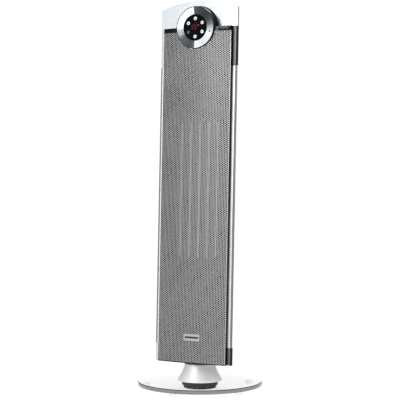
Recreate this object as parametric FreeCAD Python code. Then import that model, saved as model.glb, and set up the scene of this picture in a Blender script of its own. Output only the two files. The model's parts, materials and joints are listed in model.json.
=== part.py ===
import FreeCAD, Part
import math
import os

from FreeCAD import Vector

# Ceramic tower heater on a round glass base.
# Frame: +Z up, origin on the floor under the neck's axis, the mesh front faces -Y. Millimetres.
# The base stands upright. The tower is drawn upright too, then leaned back about LEAN_PIVOT_Z.

# ---------------------------------------------------------------- driving dimensions
LEAN_DEG = 2.3
LEAN_PIVOT_Z = 52.0

DISC_R = 125.0
DISC_BOTTOM_Z = 8.0
DISC_TOP_Z = 16.0
HUB_R = 36.0
FOOT_COUNT = 5
FOOT_RING_R = 110.0
FOOT_R = 8.0

NECK_FOOT_R = 45.0
NECK_TOP_R = 31.0
NECK_TOP_Z = 50.6
NECK_WAIST_R = 37.9
NECK_WAIST_Z = 30.2
NECK_BORE_R = 23.0
POST_R = 14.0
POST_BORE_R = 8.0
SHAFT_FIT = 0.05

GEAR_MODULE = 1.0
GEAR_TEETH = 40
PINION_TEETH = 12
GEAR_BOTTOM_Z = 58.6
GEAR_THICK = 6.0

TOWER_BOTTOM_Z = 53.3
TOWER_TOP_Z = 719.4
MODULE_HALF_W = 75.9
MODULE_EDGE_Y = -38.3
MODULE_BOW = 6.0
BEZEL_STRIP_H = 9.7
TOP_EDGE_R = 1.0
MESH_THICK = 1.0
MESH_LAP = 2.0
RAIL_W = 3.0

PLATE_HALF_W = 86.2
PLATE_FRONT_Y = -30.3
PLATE_BACK_Y = -25.4
ARCH_SHOULDER_Z = 757.4
ARCH_APEX_Z = 774.4
UPPER_SEAM_Z = 642.0
LOWER_SEAM_Z = 87.5
CHEEK_INNER_X = 76.3
CHEEK_ROUND_R = 3.0
TRIM_OUTER_X = 82.3
TRIM_BACK_Y = -28.1

SHELL_HALF_W = 74.5
SHELL_DEPTH = 70.0
SHELL_WALL = 2.5
FLANGE_HALF_W = 82.5
FLANGE_THICK = 3.0
SHELL_TOP_Z = 716.8

DRUM_Z = 718.0
DRUM_R = 42.1
DRUM_FACE_Y = -47.6
DRUM_WALL = 1.6
RING_OUTER_R = 40.4
FASCIA_R = 26.4
BUTTON_RING_R = 17.9
BUTTON_R = 3.5
BUTTON_TRAVEL = 1.0

HEATER_BOTTOM_Z = 262.0
HEATER_TOP_Z = 532.0
BAR_PITCH = 20.4
BAR_COUNT = 5
HEATER_FRONT_Y = -19.0
HEATER_BACK_Y = -6.0

FAN_Y = 19.0
FAN_R = 21.0
FAN_BLADES = 20

BOARD_THICK = 1.6

# ---------------------------------------------------------------- derived places
ARCH_RISE = ARCH_APEX_Z - ARCH_SHOULDER_Z
BOW_CROWN_Y = MODULE_EDGE_Y - MODULE_BOW
STRIP_BOTTOM_Z = TOWER_TOP_Z - BEZEL_STRIP_H
BOW_R = (MODULE_HALF_W ** 2 + MODULE_BOW ** 2) / (2 * MODULE_BOW)
GEAR_R = GEAR_MODULE * GEAR_TEETH / 2
PINION_R = GEAR_MODULE * PINION_TEETH / 2
PINION_Y = GEAR_R + PINION_R
SHELL_BACK_Y = PLATE_BACK_Y + SHELL_DEPTH
FAN_BOTTOM_Z = HEATER_BOTTOM_Z - 8
FAN_TOP_Z = HEATER_TOP_Z + 8
GAP = 0.3

Z_AXIS = Vector(0, 0, 1)
Y_AXIS = Vector(0, 1, 0)
X_AXIS = Vector(1, 0, 0)

nodes = {}


# ---------------------------------------------------------------- shape helpers
def box(x0, x1, y0, y1, z0, z1):
    """Block between two opposite corners."""
    return Part.makeBox(x1 - x0, y1 - y0, z1 - z0, Vector(x0, y0, z0))


def rod(radius, start, end):
    """Round bar between two points."""
    a = Vector(*start)
    b = Vector(*end)
    return Part.makeCylinder(radius, (b - a).Length, a, b - a)


def pipe(outer, inner, start, end):
    """Round bar with a round hole along it."""
    return rod(outer, start, end).cut(rod(inner, start, end))


def fuse(shapes):
    """One solid from shapes that share volume."""
    result = shapes[0]
    if len(shapes) > 1:
        result = result.fuse(shapes[1:])
    return result.removeSplitter()


def cut(shape, tools):
    """Shape with every tool taken out of it."""
    for tool in tools:
        shape = shape.cut(tool)
    return shape


def mirror_x(shape):
    """The same shape on the other side of the YZ plane."""
    return shape.mirror(Vector(0, 0, 0), X_AXIS)


def spun(points, centre=(0, 0)):
    """Solid turned about a vertical axis from (radius, z) corners; a corner marked 'arc' is bent through."""
    edges = []
    i = 0
    closed = points + [points[0]]
    while i < len(closed) - 1:
        a = Vector(closed[i][0], 0, closed[i][1])
        b = Vector(closed[i + 1][0], 0, closed[i + 1][1])
        if len(closed[i + 1]) == 3:
            c = Vector(closed[i + 2][0], 0, closed[i + 2][1])
            edges.append(Part.Arc(a, b, c).toShape())
            i += 2
        else:
            edges.append(Part.LineSegment(a, b).toShape())
            i += 1
    face = Part.Face(Part.Wire(edges))
    solid = face.revolve(Vector(0, 0, 0), Z_AXIS, 360)
    solid.translate(Vector(centre[0], centre[1], 0))
    return solid


def polygon_prism(points, z0, z1):
    """Upright prism on a plan outline of straight sides."""
    loop = [Vector(x, y, z0) for x, y in points]
    loop.append(loop[0])
    return Part.Face(Part.makePolygon(loop)).extrude(Vector(0, 0, z1 - z0))


def bowed_slab(half_w, front_offset, back_y, z0, z1):
    """Slab whose front follows the module's bow, set back from it by front_offset."""
    radius = BOW_R - front_offset
    centre_y = BOW_CROWN_Y + BOW_R
    edge_y = centre_y - math.sqrt(radius ** 2 - half_w ** 2)
    left = Vector(-half_w, edge_y, z0)
    crown = Vector(0, centre_y - radius, z0)
    right = Vector(half_w, edge_y, z0)
    back_right = Vector(half_w, back_y, z0)
    back_left = Vector(-half_w, back_y, z0)
    edges = [Part.Arc(left, crown, right).toShape()]
    edges.append(Part.makePolygon([right, back_right, back_left, left]))
    return Part.Face(Part.Wire(edges)).extrude(Vector(0, 0, z1 - z0))


def shell_slab(inset, z0, z1, front_y=PLATE_BACK_Y):
    """Upright half-ellipse prism: the rear shell's plan drawn in by inset, with straight cheeks in front."""
    half_w = SHELL_HALF_W - inset
    depth = SHELL_DEPTH - inset
    ellipse = Part.Ellipse(Vector(0, PLATE_BACK_Y, z0), half_w, depth)
    rear = Part.ArcOfEllipse(ellipse, 0, math.pi).toShape()
    right = Vector(half_w, PLATE_BACK_Y, z0)
    left = Vector(-half_w, PLATE_BACK_Y, z0)
    if front_y < PLATE_BACK_Y:
        corners = [left, Vector(-half_w, front_y, z0), Vector(half_w, front_y, z0), right]
    else:
        corners = [left, right]
    return Part.Face(Part.Wire([rear, Part.makePolygon(corners)])).extrude(Vector(0, 0, z1 - z0))


def arch_slab(half_w, bottom_z, shoulder_z, rise, y0, y1):
    """Plate in the XZ plane with a straight foot, straight sides and an arched head."""
    left = Vector(-half_w, y0, shoulder_z)
    apex = Vector(0, y0, shoulder_z + rise)
    right = Vector(half_w, y0, shoulder_z)
    edges = [Part.Arc(left, apex, right).toShape()]
    foot = [right, Vector(half_w, y0, bottom_z), Vector(-half_w, y0, bottom_z), left]
    edges.append(Part.makePolygon(foot))
    return Part.Face(Part.Wire(edges)).extrude(Vector(0, y1 - y0, 0))


def ring_of(count, radius, start_deg, make):
    """One shape per place on a circle round the Z axis; make gets x, y and the angle in degrees."""
    shapes = []
    for i in range(count):
        angle = start_deg + 360.0 * i / count
        x = radius * math.cos(math.radians(angle))
        y = radius * math.sin(math.radians(angle))
        shapes.append(make(x, y, angle))
    return shapes


def face_rod(radius, x, z, y0, y1):
    """Round bar that points out of the control face."""
    return rod(radius, (x, y0, z), (x, y1, z))


def button_places():
    """Name, x and z of each button, clockwise from the top."""
    names = ["power", "heat", "timer", "swing", "minus", "plus"]
    places = []
    for i, name in enumerate(names):
        angle = math.radians(90 - 60 * i)
        x = BUTTON_RING_R * math.cos(angle)
        z = DRUM_Z + BUTTON_RING_R * math.sin(angle)
        places.append((name, x, z))
    return places


def put_base(name, shapes):
    """Keep an upright node of the base."""
    nodes[name] = Part.makeCompound(shapes)


def put_tower(name, shapes):
    """Keep a node of the tower, leaned back with it."""
    compound = Part.makeCompound(shapes)
    compound.rotate(Vector(0, 0, LEAN_PIVOT_Z), X_AXIS, -LEAN_DEG)
    nodes[name] = compound


# ---------------------------------------------------------------- base
NECK_BOTTOM_Z = DISC_TOP_Z + 0.5
POST_FLANGE_Z = 42.0
SHELF_Z = POST_FLANGE_Z + 3.0
THRUST_TOP_Z = NECK_TOP_Z + 1.0
BOSS_BOTTOM_Z = THRUST_TOP_Z + 0.1
HUB_BOTTOM_Z = 2.0
HUB_SKIRT_R = 33.6
HUB_DRAFT = 1.4
HUB_FLOOR_H = 3.0
HUB_SCREW_R = 2.0
HUB_SCREW_RING_R = 27.0
HUB_SCREW_COUNT = 4
HUB_SCREW_HEAD_R = 3.9
HUB_SCREW_TIP_Z = 27.0


def make_glass_disc():
    """Clear disc with ground edges and a round hole for the hub."""
    edge = 0.8
    hole = HUB_R + 0.2
    profile = [(hole, DISC_BOTTOM_Z), (DISC_R - edge, DISC_BOTTOM_Z), (DISC_R, DISC_BOTTOM_Z + edge),
               (DISC_R, DISC_TOP_Z - edge), (DISC_R - edge, DISC_TOP_Z), (hole, DISC_TOP_Z)]
    put_base("glass_disc", [spun(profile)])


def make_feet():
    """Short clear feet bonded under the disc."""
    def foot(x, y, angle):
        profile = [(0, 0), (FOOT_R - 1.5, 0), (FOOT_R, 1.5), (FOOT_R, DISC_BOTTOM_Z), (0, DISC_BOTTOM_Z)]
        return spun(profile, (x, y))
    put_base("base_feet", ring_of(FOOT_COUNT, FOOT_RING_R, -90, foot))


def hub_screw_holes():
    """Holes for the screws that join the hub and the neck."""
    def hole(x, y, angle):
        return rod(HUB_SCREW_R + SHAFT_FIT, (x, y, 0), (x, y, HUB_SCREW_TIP_Z + 3))
    return ring_of(HUB_SCREW_COUNT, HUB_SCREW_RING_R, 45, hole)


def make_hub():
    """Moulded plug bonded in the disc's hole, with a tapered skirt below the glass and a closed floor."""
    floor_top = HUB_BOTTOM_Z + HUB_FLOOR_H
    profile = [(0, HUB_BOTTOM_Z), (HUB_SKIRT_R - HUB_DRAFT, HUB_BOTTOM_Z), (HUB_SKIRT_R, DISC_BOTTOM_Z),
               (HUB_R, DISC_BOTTOM_Z), (HUB_R, NECK_BOTTOM_Z), (POST_BORE_R, NECK_BOTTOM_Z),
               (POST_BORE_R, floor_top), (0, floor_top)]
    hub = cut(spun(profile), hub_screw_holes())
    sinks = ring_of(HUB_SCREW_COUNT, HUB_SCREW_RING_R, 45,
                    lambda x, y, a: rod(HUB_SCREW_HEAD_R + GAP, (x, y, 0), (x, y, floor_top)))
    put_base("base_hub", [cut(hub, sinks)])


def make_hub_screws():
    """Four screws that pull the neck down on the glass."""
    def screw(x, y, angle):
        head_z = HUB_BOTTOM_Z + 0.4
        head = rod(HUB_SCREW_HEAD_R, (x, y, head_z), (x, y, HUB_BOTTOM_Z + HUB_FLOOR_H))
        shank = rod(HUB_SCREW_R, (x, y, head_z + 2), (x, y, HUB_SCREW_TIP_Z))
        slot = box(x - 2.8, x + 2.8, y - 0.5, y + 0.5, head_z, head_z + 1.2)
        return fuse([head, shank]).cut(slot)
    put_base("hub_screws", ring_of(HUB_SCREW_COUNT, HUB_SCREW_RING_R, 45, screw))


def make_gasket():
    """Thin ring between the neck's foot and the glass."""
    ring = pipe(NECK_FOOT_R - 2.5, HUB_R + 0.2, (0, 0, DISC_TOP_Z), (0, 0, NECK_BOTTOM_Z))
    put_base("glass_gasket", [ring])


def make_neck():
    """Flared metal neck, hollow, with an inner shelf for the swivel post."""
    z0 = NECK_BOTTOM_Z
    profile = [(NECK_BORE_R, z0), (NECK_FOOT_R - 1.2, z0), (NECK_FOOT_R, z0 + 1.2),
               (NECK_WAIST_R, NECK_WAIST_Z, "arc"),
               (NECK_TOP_R, NECK_TOP_Z - 1), (NECK_TOP_R - 1, NECK_TOP_Z),
               (POST_R + 0.1, NECK_TOP_Z), (POST_R + 0.1, SHELF_Z), (NECK_BORE_R, SHELF_Z)]
    put_base("neck", [cut(spun(profile), hub_screw_holes())])


def make_post():
    """Fixed tube that the tower turns on, with a flange under the neck's shelf."""
    top = GEAR_BOTTOM_Z + GEAR_THICK
    tube = rod(POST_R, (0, 0, POST_FLANGE_Z), (0, 0, top))
    flange = rod(NECK_BORE_R - 0.2, (0, 0, POST_FLANGE_Z), (0, 0, SHELF_Z - SHAFT_FIT))
    bore = rod(POST_BORE_R, (0, 0, 0), (0, 0, top + 1))
    put_base("swivel_post", [fuse([tube, flange]).cut(bore)])


def make_thrust_ring():
    """Slippery washer that carries the tower's weight."""
    ring = pipe(NECK_TOP_R - 4, POST_R + 0.2, (0, 0, NECK_TOP_Z), (0, 0, THRUST_TOP_Z))
    put_base("thrust_ring", [ring])


def gear_outline(teeth, phase_deg, backlash):
    """Plan outline of an involute spur gear with 20 degree flanks; a tooth's middle lies at phase_deg."""
    pressure = math.radians(20)
    pitch_r = GEAR_MODULE * teeth / 2
    base_r = pitch_r * math.cos(pressure)
    tip_r = pitch_r + 0.92 * GEAR_MODULE
    root_r = pitch_r - 1.2 * GEAR_MODULE
    half_tooth = (math.pi * GEAR_MODULE / 2 - backlash) / 2 / pitch_r + math.tan(pressure) - pressure
    start_r = max(base_r, root_r)
    flank = []
    steps = 5
    for i in range(steps + 1):
        r = start_r + (tip_r - start_r) * i / steps
        roll = math.acos(min(1.0, base_r / r))
        flank.append((r, half_tooth - (math.tan(roll) - roll)))
    points = []
    for tooth in range(teeth):
        middle = math.radians(phase_deg) + 2 * math.pi * tooth / teeth
        side = [(root_r, flank[0][1])] + flank if root_r < start_r else list(flank)
        for r, a in side:
            points.append((r * math.cos(middle - a), r * math.sin(middle - a)))
        for r, a in reversed(side):
            points.append((r * math.cos(middle + a), r * math.sin(middle + a)))
    return points


def make_fixed_gear():
    """Gear fast on the post, with a tooth space towards the pinion."""
    space_phase = 90 + 180.0 / GEAR_TEETH
    top = GEAR_BOTTOM_Z + GEAR_THICK
    gear = polygon_prism(gear_outline(GEAR_TEETH, space_phase, 0.25), GEAR_BOTTOM_Z, top)
    put_base("fixed_gear", [gear.cut(rod(POST_R, (0, 0, GEAR_BOTTOM_Z - 1), (0, 0, top + 1)))])


# ---------------------------------------------------------------- oscillation drive, upright on the tower
OSC_MOTOR_Z = GEAR_BOTTOM_Z + GEAR_THICK + 2.5
OSC_SHAFT_R = 2.5
OSC_EAR_X = 17.5
OSC_CAN_R = 14.0
OSC_CAN_H = 19.0
OSC_SCREW_R = 1.5


def make_osc_pinion():
    """Small gear on the oscillation motor's shaft, a tooth towards the fixed gear."""
    top = GEAR_BOTTOM_Z + GEAR_THICK
    gear = polygon_prism(gear_outline(PINION_TEETH, -90, 0.25), GEAR_BOTTOM_Z, top)
    gear.translate(Vector(0, PINION_Y, 0))
    shaft = rod(OSC_SHAFT_R, (0, PINION_Y, GEAR_BOTTOM_Z), (0, PINION_Y, OSC_MOTOR_Z + 8))
    put_base("osc_pinion", [fuse([gear, shaft])])


def make_osc_motor():
    """Round geared motor hung over the pinion by two ears."""
    z = OSC_MOTOR_Z
    can = rod(OSC_CAN_R, (0, PINION_Y, z), (0, PINION_Y, z + OSC_CAN_H))
    ears = box(-OSC_EAR_X - 3.5, OSC_EAR_X + 3.5, PINION_Y - 3.5, PINION_Y + 3.5, z, z + 1)
    plug = box(-7, 7, PINION_Y - 17, PINION_Y - 12, z + 3, z + 17)
    bore = rod(OSC_SHAFT_R + SHAFT_FIT, (0, PINION_Y, z - 1), (0, PINION_Y, z + 10))
    screws = [rod(OSC_SCREW_R, (x, PINION_Y, z - 1), (x, PINION_Y, z + 2)) for x in (-OSC_EAR_X, OSC_EAR_X)]
    put_base("osc_motor", [cut(fuse([can, ears, plug]), [bore] + screws)])


def make_osc_screws():
    """Two screws through the motor's ears."""
    def screw(x):
        z = OSC_MOTOR_Z + 1
        return fuse([rod(2.8, (x, PINION_Y, z), (x, PINION_Y, z + 1.8)),
                     rod(OSC_SCREW_R - SHAFT_FIT, (x, PINION_Y, z - 6), (x, PINION_Y, z + 0.5))])
    put_base("osc_motor_screws", [screw(-OSC_EAR_X), screw(OSC_EAR_X)])


# ---------------------------------------------------------------- tower housing
CAP_FLOOR_H = 3.5
BOSS_R = 29.8
BOSS_TOP_Z = GEAR_BOTTOM_Z - 0.6


def make_bottom_cap():
    """Leaning floor of the tower with an upright turntable boss and pillars for the oscillation motor."""
    floor = shell_slab(SHELL_WALL + 0.1, TOWER_BOTTOM_Z, TOWER_BOTTOM_Z + CAP_FLOOR_H, PLATE_FRONT_Y + 0.1)
    floor.rotate(Vector(0, 0, LEAN_PIVOT_Z), X_AXIS, -LEAN_DEG)
    boss = rod(BOSS_R, (0, 0, BOSS_BOTTOM_Z), (0, 0, BOSS_TOP_Z))
    pillars = [rod(3.2, (x, PINION_Y, 54.5), (x, PINION_Y, OSC_MOTOR_Z)) for x in (-OSC_EAR_X, OSC_EAR_X)]
    holes = [rod(OSC_SCREW_R, (x, PINION_Y, 58), (x, PINION_Y, 80)) for x in (-OSC_EAR_X, OSC_EAR_X)]
    bore = rod(POST_R + SHAFT_FIT, (0, 0, 40), (0, 0, 80))
    nodes["bottom_cap"] = cut(fuse([floor, boss] + pillars), [bore] + holes)


SLOT_H = 4.0
SLOT_PITCH = 8.2
SLOT_FRONT_Y = 10.0
INTAKE_SPANS = ((-47, -18), (-14.5, 14.5), (18, 47))
VENT_SPANS = ((-40, -16), (-12, 12), (16, 40))
VENT_Z = 150.0
VENT_ROWS = 5


def slot_rows(rows, bottom_z, spans):
    """Level slots through the shell's back, one per span in each row."""
    slots = []
    for row in range(rows):
        z = bottom_z + SLOT_PITCH * row
        for x0, x1 in spans:
            slots.append(box(x0, x1, SLOT_FRONT_Y, SHELL_BACK_Y + 5, z, z + SLOT_H))
    return slots


def shell_slots():
    """Tall intake behind the fan, and a short vent for the power board lower down."""
    rows = int((FAN_TOP_Z - FAN_BOTTOM_Z) / SLOT_PITCH)
    intake = slot_rows(rows, FAN_BOTTOM_Z + 6, INTAKE_SPANS)
    return Part.makeCompound(intake + slot_rows(VENT_ROWS, VENT_Z, VENT_SPANS))


SWITCH_Z = 132.0
SWITCH_HALF_W = 10.5
SWITCH_HALF_H = 7.5
GLAND_Z = 100.0
GLAND_R = 7.0
GLAND_BORE_R = 4.0


def make_rear_shell():
    """Curved back of the tower with a flange all down its front edges."""
    wall = shell_slab(0, TOWER_BOTTOM_Z, SHELL_TOP_Z).cut(
        shell_slab(SHELL_WALL, TOWER_BOTTOM_Z - 1, SHELL_TOP_Z + 1, PLATE_BACK_Y - 5))
    flange = box(SHELL_HALF_W - SHELL_WALL, FLANGE_HALF_W, PLATE_BACK_Y, PLATE_BACK_Y + FLANGE_THICK,
                 TOWER_BOTTOM_Z, SHELL_TOP_Z)
    shell = fuse([wall, flange, mirror_x(flange)])
    switch_hole = box(-SWITCH_HALF_W, SWITCH_HALF_W, 20, SHELL_BACK_Y + 5,
                      SWITCH_Z - SWITCH_HALF_H, SWITCH_Z + SWITCH_HALF_H)
    gland_hole = rod(GLAND_R, (0, 20, GLAND_Z), (0, SHELL_BACK_Y + 5, GLAND_Z))
    put_tower("rear_shell", [cut(shell, [shell_slots(), switch_hole, gland_hole])])


POCKET_HALF_W = 42.0
POCKET_BOTTOM_Z = 724.0
POCKET_TOP_Z = 746.0
POCKET_FRONT_Y = 20.0
POCKET_WALL = 2.0
CAP_DROP = 4.0


def make_top_cap():
    """Arched cap over the rear shell with a finger pocket for carrying."""
    shoulder_z = ARCH_SHOULDER_Z - CAP_DROP
    behind = SHELL_BACK_Y + 5
    body = shell_slab(0, SHELL_TOP_Z + 0.2, ARCH_APEX_Z + 5)
    arch = arch_slab(PLATE_HALF_W, SHELL_TOP_Z - 1, shoulder_z, ARCH_RISE, PLATE_BACK_Y - 1, behind)
    outer = body.common(arch)
    inner_body = shell_slab(SHELL_WALL, SHELL_TOP_Z - 1, ARCH_APEX_Z + 5, PLATE_BACK_Y - 5)
    inner_arch = arch_slab(PLATE_HALF_W, SHELL_TOP_Z - 2, shoulder_z - SHELL_WALL, ARCH_RISE,
                           PLATE_BACK_Y - 6, behind)
    skin = outer.cut(inner_body.common(inner_arch))
    cup = box(-POCKET_HALF_W - POCKET_WALL, POCKET_HALF_W + POCKET_WALL, POCKET_FRONT_Y - POCKET_WALL,
              behind, POCKET_BOTTOM_Z - POCKET_WALL, POCKET_TOP_Z + POCKET_WALL).common(outer)
    hollow = box(-POCKET_HALF_W, POCKET_HALF_W, POCKET_FRONT_Y, behind, POCKET_BOTTOM_Z, POCKET_TOP_Z)
    put_tower("top_cap", [fuse([skin, cup]).cut(hollow)])


NOTCH_TOP_Z = 712.0
WIRE_HOLE_R = 12.0


def make_arch_cover():
    """Silver plate that frames the control drum, with a cheek down each side."""
    plate = arch_slab(PLATE_HALF_W, UPPER_SEAM_Z, ARCH_SHOULDER_Z, ARCH_RISE, PLATE_FRONT_Y, PLATE_BACK_Y)
    notch = box(-CHEEK_INNER_X, CHEEK_INNER_X, PLATE_FRONT_Y - 1, PLATE_BACK_Y + 1, UPPER_SEAM_Z - 1,
                NOTCH_TOP_Z)
    wire_hole = face_rod(WIRE_HOLE_R, 0, DRUM_Z, PLATE_FRONT_Y - 1, PLATE_BACK_Y + 1)
    corner_x = PLATE_HALF_W - CHEEK_ROUND_R
    corner_y = PLATE_FRONT_Y + CHEEK_ROUND_R
    corner = box(corner_x, PLATE_HALF_W + 1, PLATE_FRONT_Y - 1, corner_y, UPPER_SEAM_Z - 1, SHELL_TOP_Z)
    edge_start = (corner_x, corner_y, UPPER_SEAM_Z - 2)
    corner = corner.cut(rod(CHEEK_ROUND_R, edge_start, (corner_x, corner_y, SHELL_TOP_Z + 1)))
    put_tower("arch_cover", [cut(plate, [notch, wire_hole, corner, mirror_x(corner)])])


def make_lower_cheeks():
    """Silver end pieces of the side trims, one on each side."""
    cheek = box(CHEEK_INNER_X, PLATE_HALF_W, PLATE_FRONT_Y, PLATE_BACK_Y, TOWER_BOTTOM_Z, LOWER_SEAM_Z)
    outer_edge = [e for e in cheek.Edges if e.BoundBox.YMax < PLATE_FRONT_Y + 0.1
                  and e.BoundBox.XMin > PLATE_HALF_W - 0.1]
    cheek = cheek.makeFillet(CHEEK_ROUND_R, outer_edge)
    put_tower("lower_cheeks", [cheek, mirror_x(cheek)])


SEAM_GAP = 0.4
EDGE_BEVEL = 0.8
FACE_FIT = 0.05
TRIM_EASE = 0.4


def make_side_trims():
    """Flat bright strips between the cheeks, with a slightly eased outer edge."""
    z0 = LOWER_SEAM_Z + SEAM_GAP
    z1 = UPPER_SEAM_Z - SEAM_GAP
    trim = box(CHEEK_INNER_X, TRIM_OUTER_X, PLATE_FRONT_Y, TRIM_BACK_Y, z0, z1)
    front_edges = [e for e in trim.Edges if e.BoundBox.YMax < PLATE_FRONT_Y + 0.1 and e.BoundBox.ZLength > 1]
    trim = trim.makeFillet(TRIM_EASE, front_edges)
    put_tower("side_trim_right", [trim])
    put_tower("side_trim_left", [mirror_x(trim)])


def make_edge_mouldings():
    """Dark strips that carry the bright trims and stand out beside them, one on each side."""
    lip_front_y = PLATE_FRONT_Y + TRIM_EASE
    lip_x = TRIM_OUTER_X + FACE_FIT
    outer_x = PLATE_HALF_W
    section = [(CHEEK_INNER_X, TRIM_BACK_Y), (lip_x, TRIM_BACK_Y), (lip_x, lip_front_y),
               (outer_x - EDGE_BEVEL, lip_front_y), (outer_x, lip_front_y + EDGE_BEVEL),
               (outer_x, TRIM_BACK_Y), (outer_x - 2, PLATE_BACK_Y), (CHEEK_INNER_X, PLATE_BACK_Y)]
    moulding = polygon_prism(section, LOWER_SEAM_Z + SEAM_GAP, UPPER_SEAM_Z - SEAM_GAP)
    put_tower("edge_mouldings", [moulding, mirror_x(moulding)])


def drum_clearance():
    """Space that the control drum takes out of the module's top."""
    return face_rod(DRUM_R + GAP, 0, DRUM_Z, -70, 0)


def bezel_blank():
    """Full black frame's bowed block, with the step that the mesh sheet sits in."""
    z0 = TOWER_BOTTOM_Z
    z1 = TOWER_TOP_Z
    block = bowed_slab(MODULE_HALF_W, 0, PLATE_FRONT_Y, z0, z1)
    top_edges = [e for e in block.Edges if e.BoundBox.ZMin > z1 - 0.1
                 and e.BoundBox.YMax < PLATE_FRONT_Y - 1 and e.BoundBox.XLength > 1]
    block = block.makeFillet(TOP_EDGE_R, top_edges)
    skin = bowed_slab(MODULE_HALF_W + 5, -20, -20, z0 + MESH_LAP, STRIP_BOTTOM_Z)
    return block.cut(skin.cut(bowed_slab(MODULE_HALF_W + 6, MESH_THICK, 0, z0, z1)))


def make_bezel():
    """Black frame round the mesh: two side rails, a floor strip and glossy strips beside the drum."""
    blank = bezel_blank()
    wide = MODULE_HALF_W + 1
    low_z = TOWER_BOTTOM_Z + 4
    high_z = STRIP_BOTTOM_Z - 3
    rail = box(MODULE_HALF_W - RAIL_W, wide, -60, 0, low_z, high_z)
    put_tower("side_rail_right", [blank.common(rail).cut(drum_clearance())])
    put_tower("side_rail_left", [blank.common(mirror_x(rail)).cut(drum_clearance())])
    put_tower("bottom_strip", [blank.common(box(-wide, wide, -60, 0, 0, low_z))])
    top = blank.common(box(-wide, wide, -60, 0, high_z, TOWER_TOP_Z + 1)).cut(drum_clearance())
    put_tower("top_strips", top.Solids)


def make_mesh():
    """Perforated steel sheet, drawn here as a plain bowed sheet."""
    z0 = TOWER_BOTTOM_Z + MESH_LAP + 0.1
    z1 = STRIP_BOTTOM_Z - 0.1
    inside = bowed_slab(MODULE_HALF_W + 1, MESH_THICK, 1, z0 - 1, z1 + 1)
    sheet = bowed_slab(MODULE_HALF_W, 0, 0, z0, z1).cut(inside)
    put_tower("mesh_grille", [sheet.cut(drum_clearance())])


BADGE_X = 4.0
BADGE_Z = 104.7
BADGE_HALF_W = 18.0
BADGE_HALF_H = 6.9
BADGE_THICK = 1.2


def make_nameplate():
    """Blank metal badge low on the mesh, a little right of the middle."""
    z0 = BADGE_Z - BADGE_HALF_H
    z1 = BADGE_Z + BADGE_HALF_H
    half_w = 2 * BADGE_HALF_W
    sheet = bowed_slab(half_w, -BADGE_THICK, 0, z0, z1).cut(bowed_slab(half_w + 1, 0, 1, z0 - 1, z1 + 1))
    outline = box(BADGE_X - BADGE_HALF_W, BADGE_X + BADGE_HALF_W, -60, 0, z0, z1)
    put_tower("nameplate", [sheet.common(outline)])


WINDOW_HALF_W = 48.0


def make_chassis():
    """Flat inner frame that carries the heater, the bezel and the shell, with a window for the warm air."""
    z0 = TOWER_BOTTOM_Z + CAP_FLOOR_H + 0.3
    half_w = CHEEK_INNER_X - 0.1
    plate = box(-half_w, half_w, PLATE_FRONT_Y, PLATE_BACK_Y, z0, NOTCH_TOP_Z - GAP)
    air = box(-WINDOW_HALF_W, WINDOW_HALF_W, -40, 0, HEATER_BOTTOM_Z, HEATER_TOP_Z)
    put_tower("main_chassis", [plate.cut(air)])


HOUSING_SCREW_Z = (75, 240, 400, 560, 690)
HOUSING_SCREW_R = 2.6
HOUSING_SCREW_H = 1.8
CROSS_HALF_L = 1.6
CROSS_HALF_W = 0.35


def make_housing_screws():
    """Cross-head screws down the flange that close the rear shell, drawn as their heads."""
    screws = []
    seat_y = PLATE_BACK_Y + FLANGE_THICK
    middle_x = (SHELL_HALF_W + FLANGE_HALF_W) / 2
    cross_y = seat_y + HOUSING_SCREW_H / 2
    for z in HOUSING_SCREW_Z:
        for x in (-middle_x, middle_x):
            head = rod(HOUSING_SCREW_R, (x, seat_y, z), (x, seat_y + HOUSING_SCREW_H, z))
            cross = fuse([box(x - u, x + u, cross_y, seat_y + 3, z - v, z + v)
                          for u, v in ((CROSS_HALF_L, CROSS_HALF_W), (CROSS_HALF_W, CROSS_HALF_L))])
            screws.append(head.cut(cross))
    put_tower("housing_screws", screws)


# ---------------------------------------------------------------- heater
def bar_places():
    """X of each ceramic bar, symmetric about the middle."""
    return [BAR_PITCH * (i - (BAR_COUNT - 1) / 2) for i in range(BAR_COUNT)]


BAR_HALF_W = 1.7
HEATER_HALF_W = BAR_PITCH * (BAR_COUNT - 1) / 2 + BAR_HALF_W
HEATER_RIM = 5.0


def make_heater_frame():
    """Heat-proof frame round the bars and fins."""
    rim = HEATER_RIM
    outer = box(-HEATER_HALF_W - rim, HEATER_HALF_W + rim, HEATER_FRONT_Y, HEATER_BACK_Y,
                HEATER_BOTTOM_Z - rim, HEATER_TOP_Z + rim)
    window = box(-HEATER_HALF_W, HEATER_HALF_W, HEATER_FRONT_Y - 1, HEATER_BACK_Y + 1,
                 HEATER_BOTTOM_Z, HEATER_TOP_Z)
    feet = []
    for z in (HEATER_BOTTOM_Z - rim, HEATER_TOP_Z + rim - 8):
        for x in (-HEATER_HALF_W - rim, HEATER_HALF_W + rim - 6):
            feet.append(box(x, x + 6, PLATE_BACK_Y, HEATER_FRONT_Y + 0.5, z, z + 8))
    put_tower("heater_frame", [fuse([outer.cut(window)] + feet)])


def make_ceramic_bars():
    """Ceramic stones in flat holders, one bar per place."""
    bars = []
    for x in bar_places():
        bars.append(box(x - BAR_HALF_W, x + BAR_HALF_W, HEATER_FRONT_Y + 0.5, HEATER_BACK_Y - 0.5,
                        HEATER_BOTTOM_Z, HEATER_TOP_Z))
    put_tower("ceramic_bars", bars)


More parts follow.
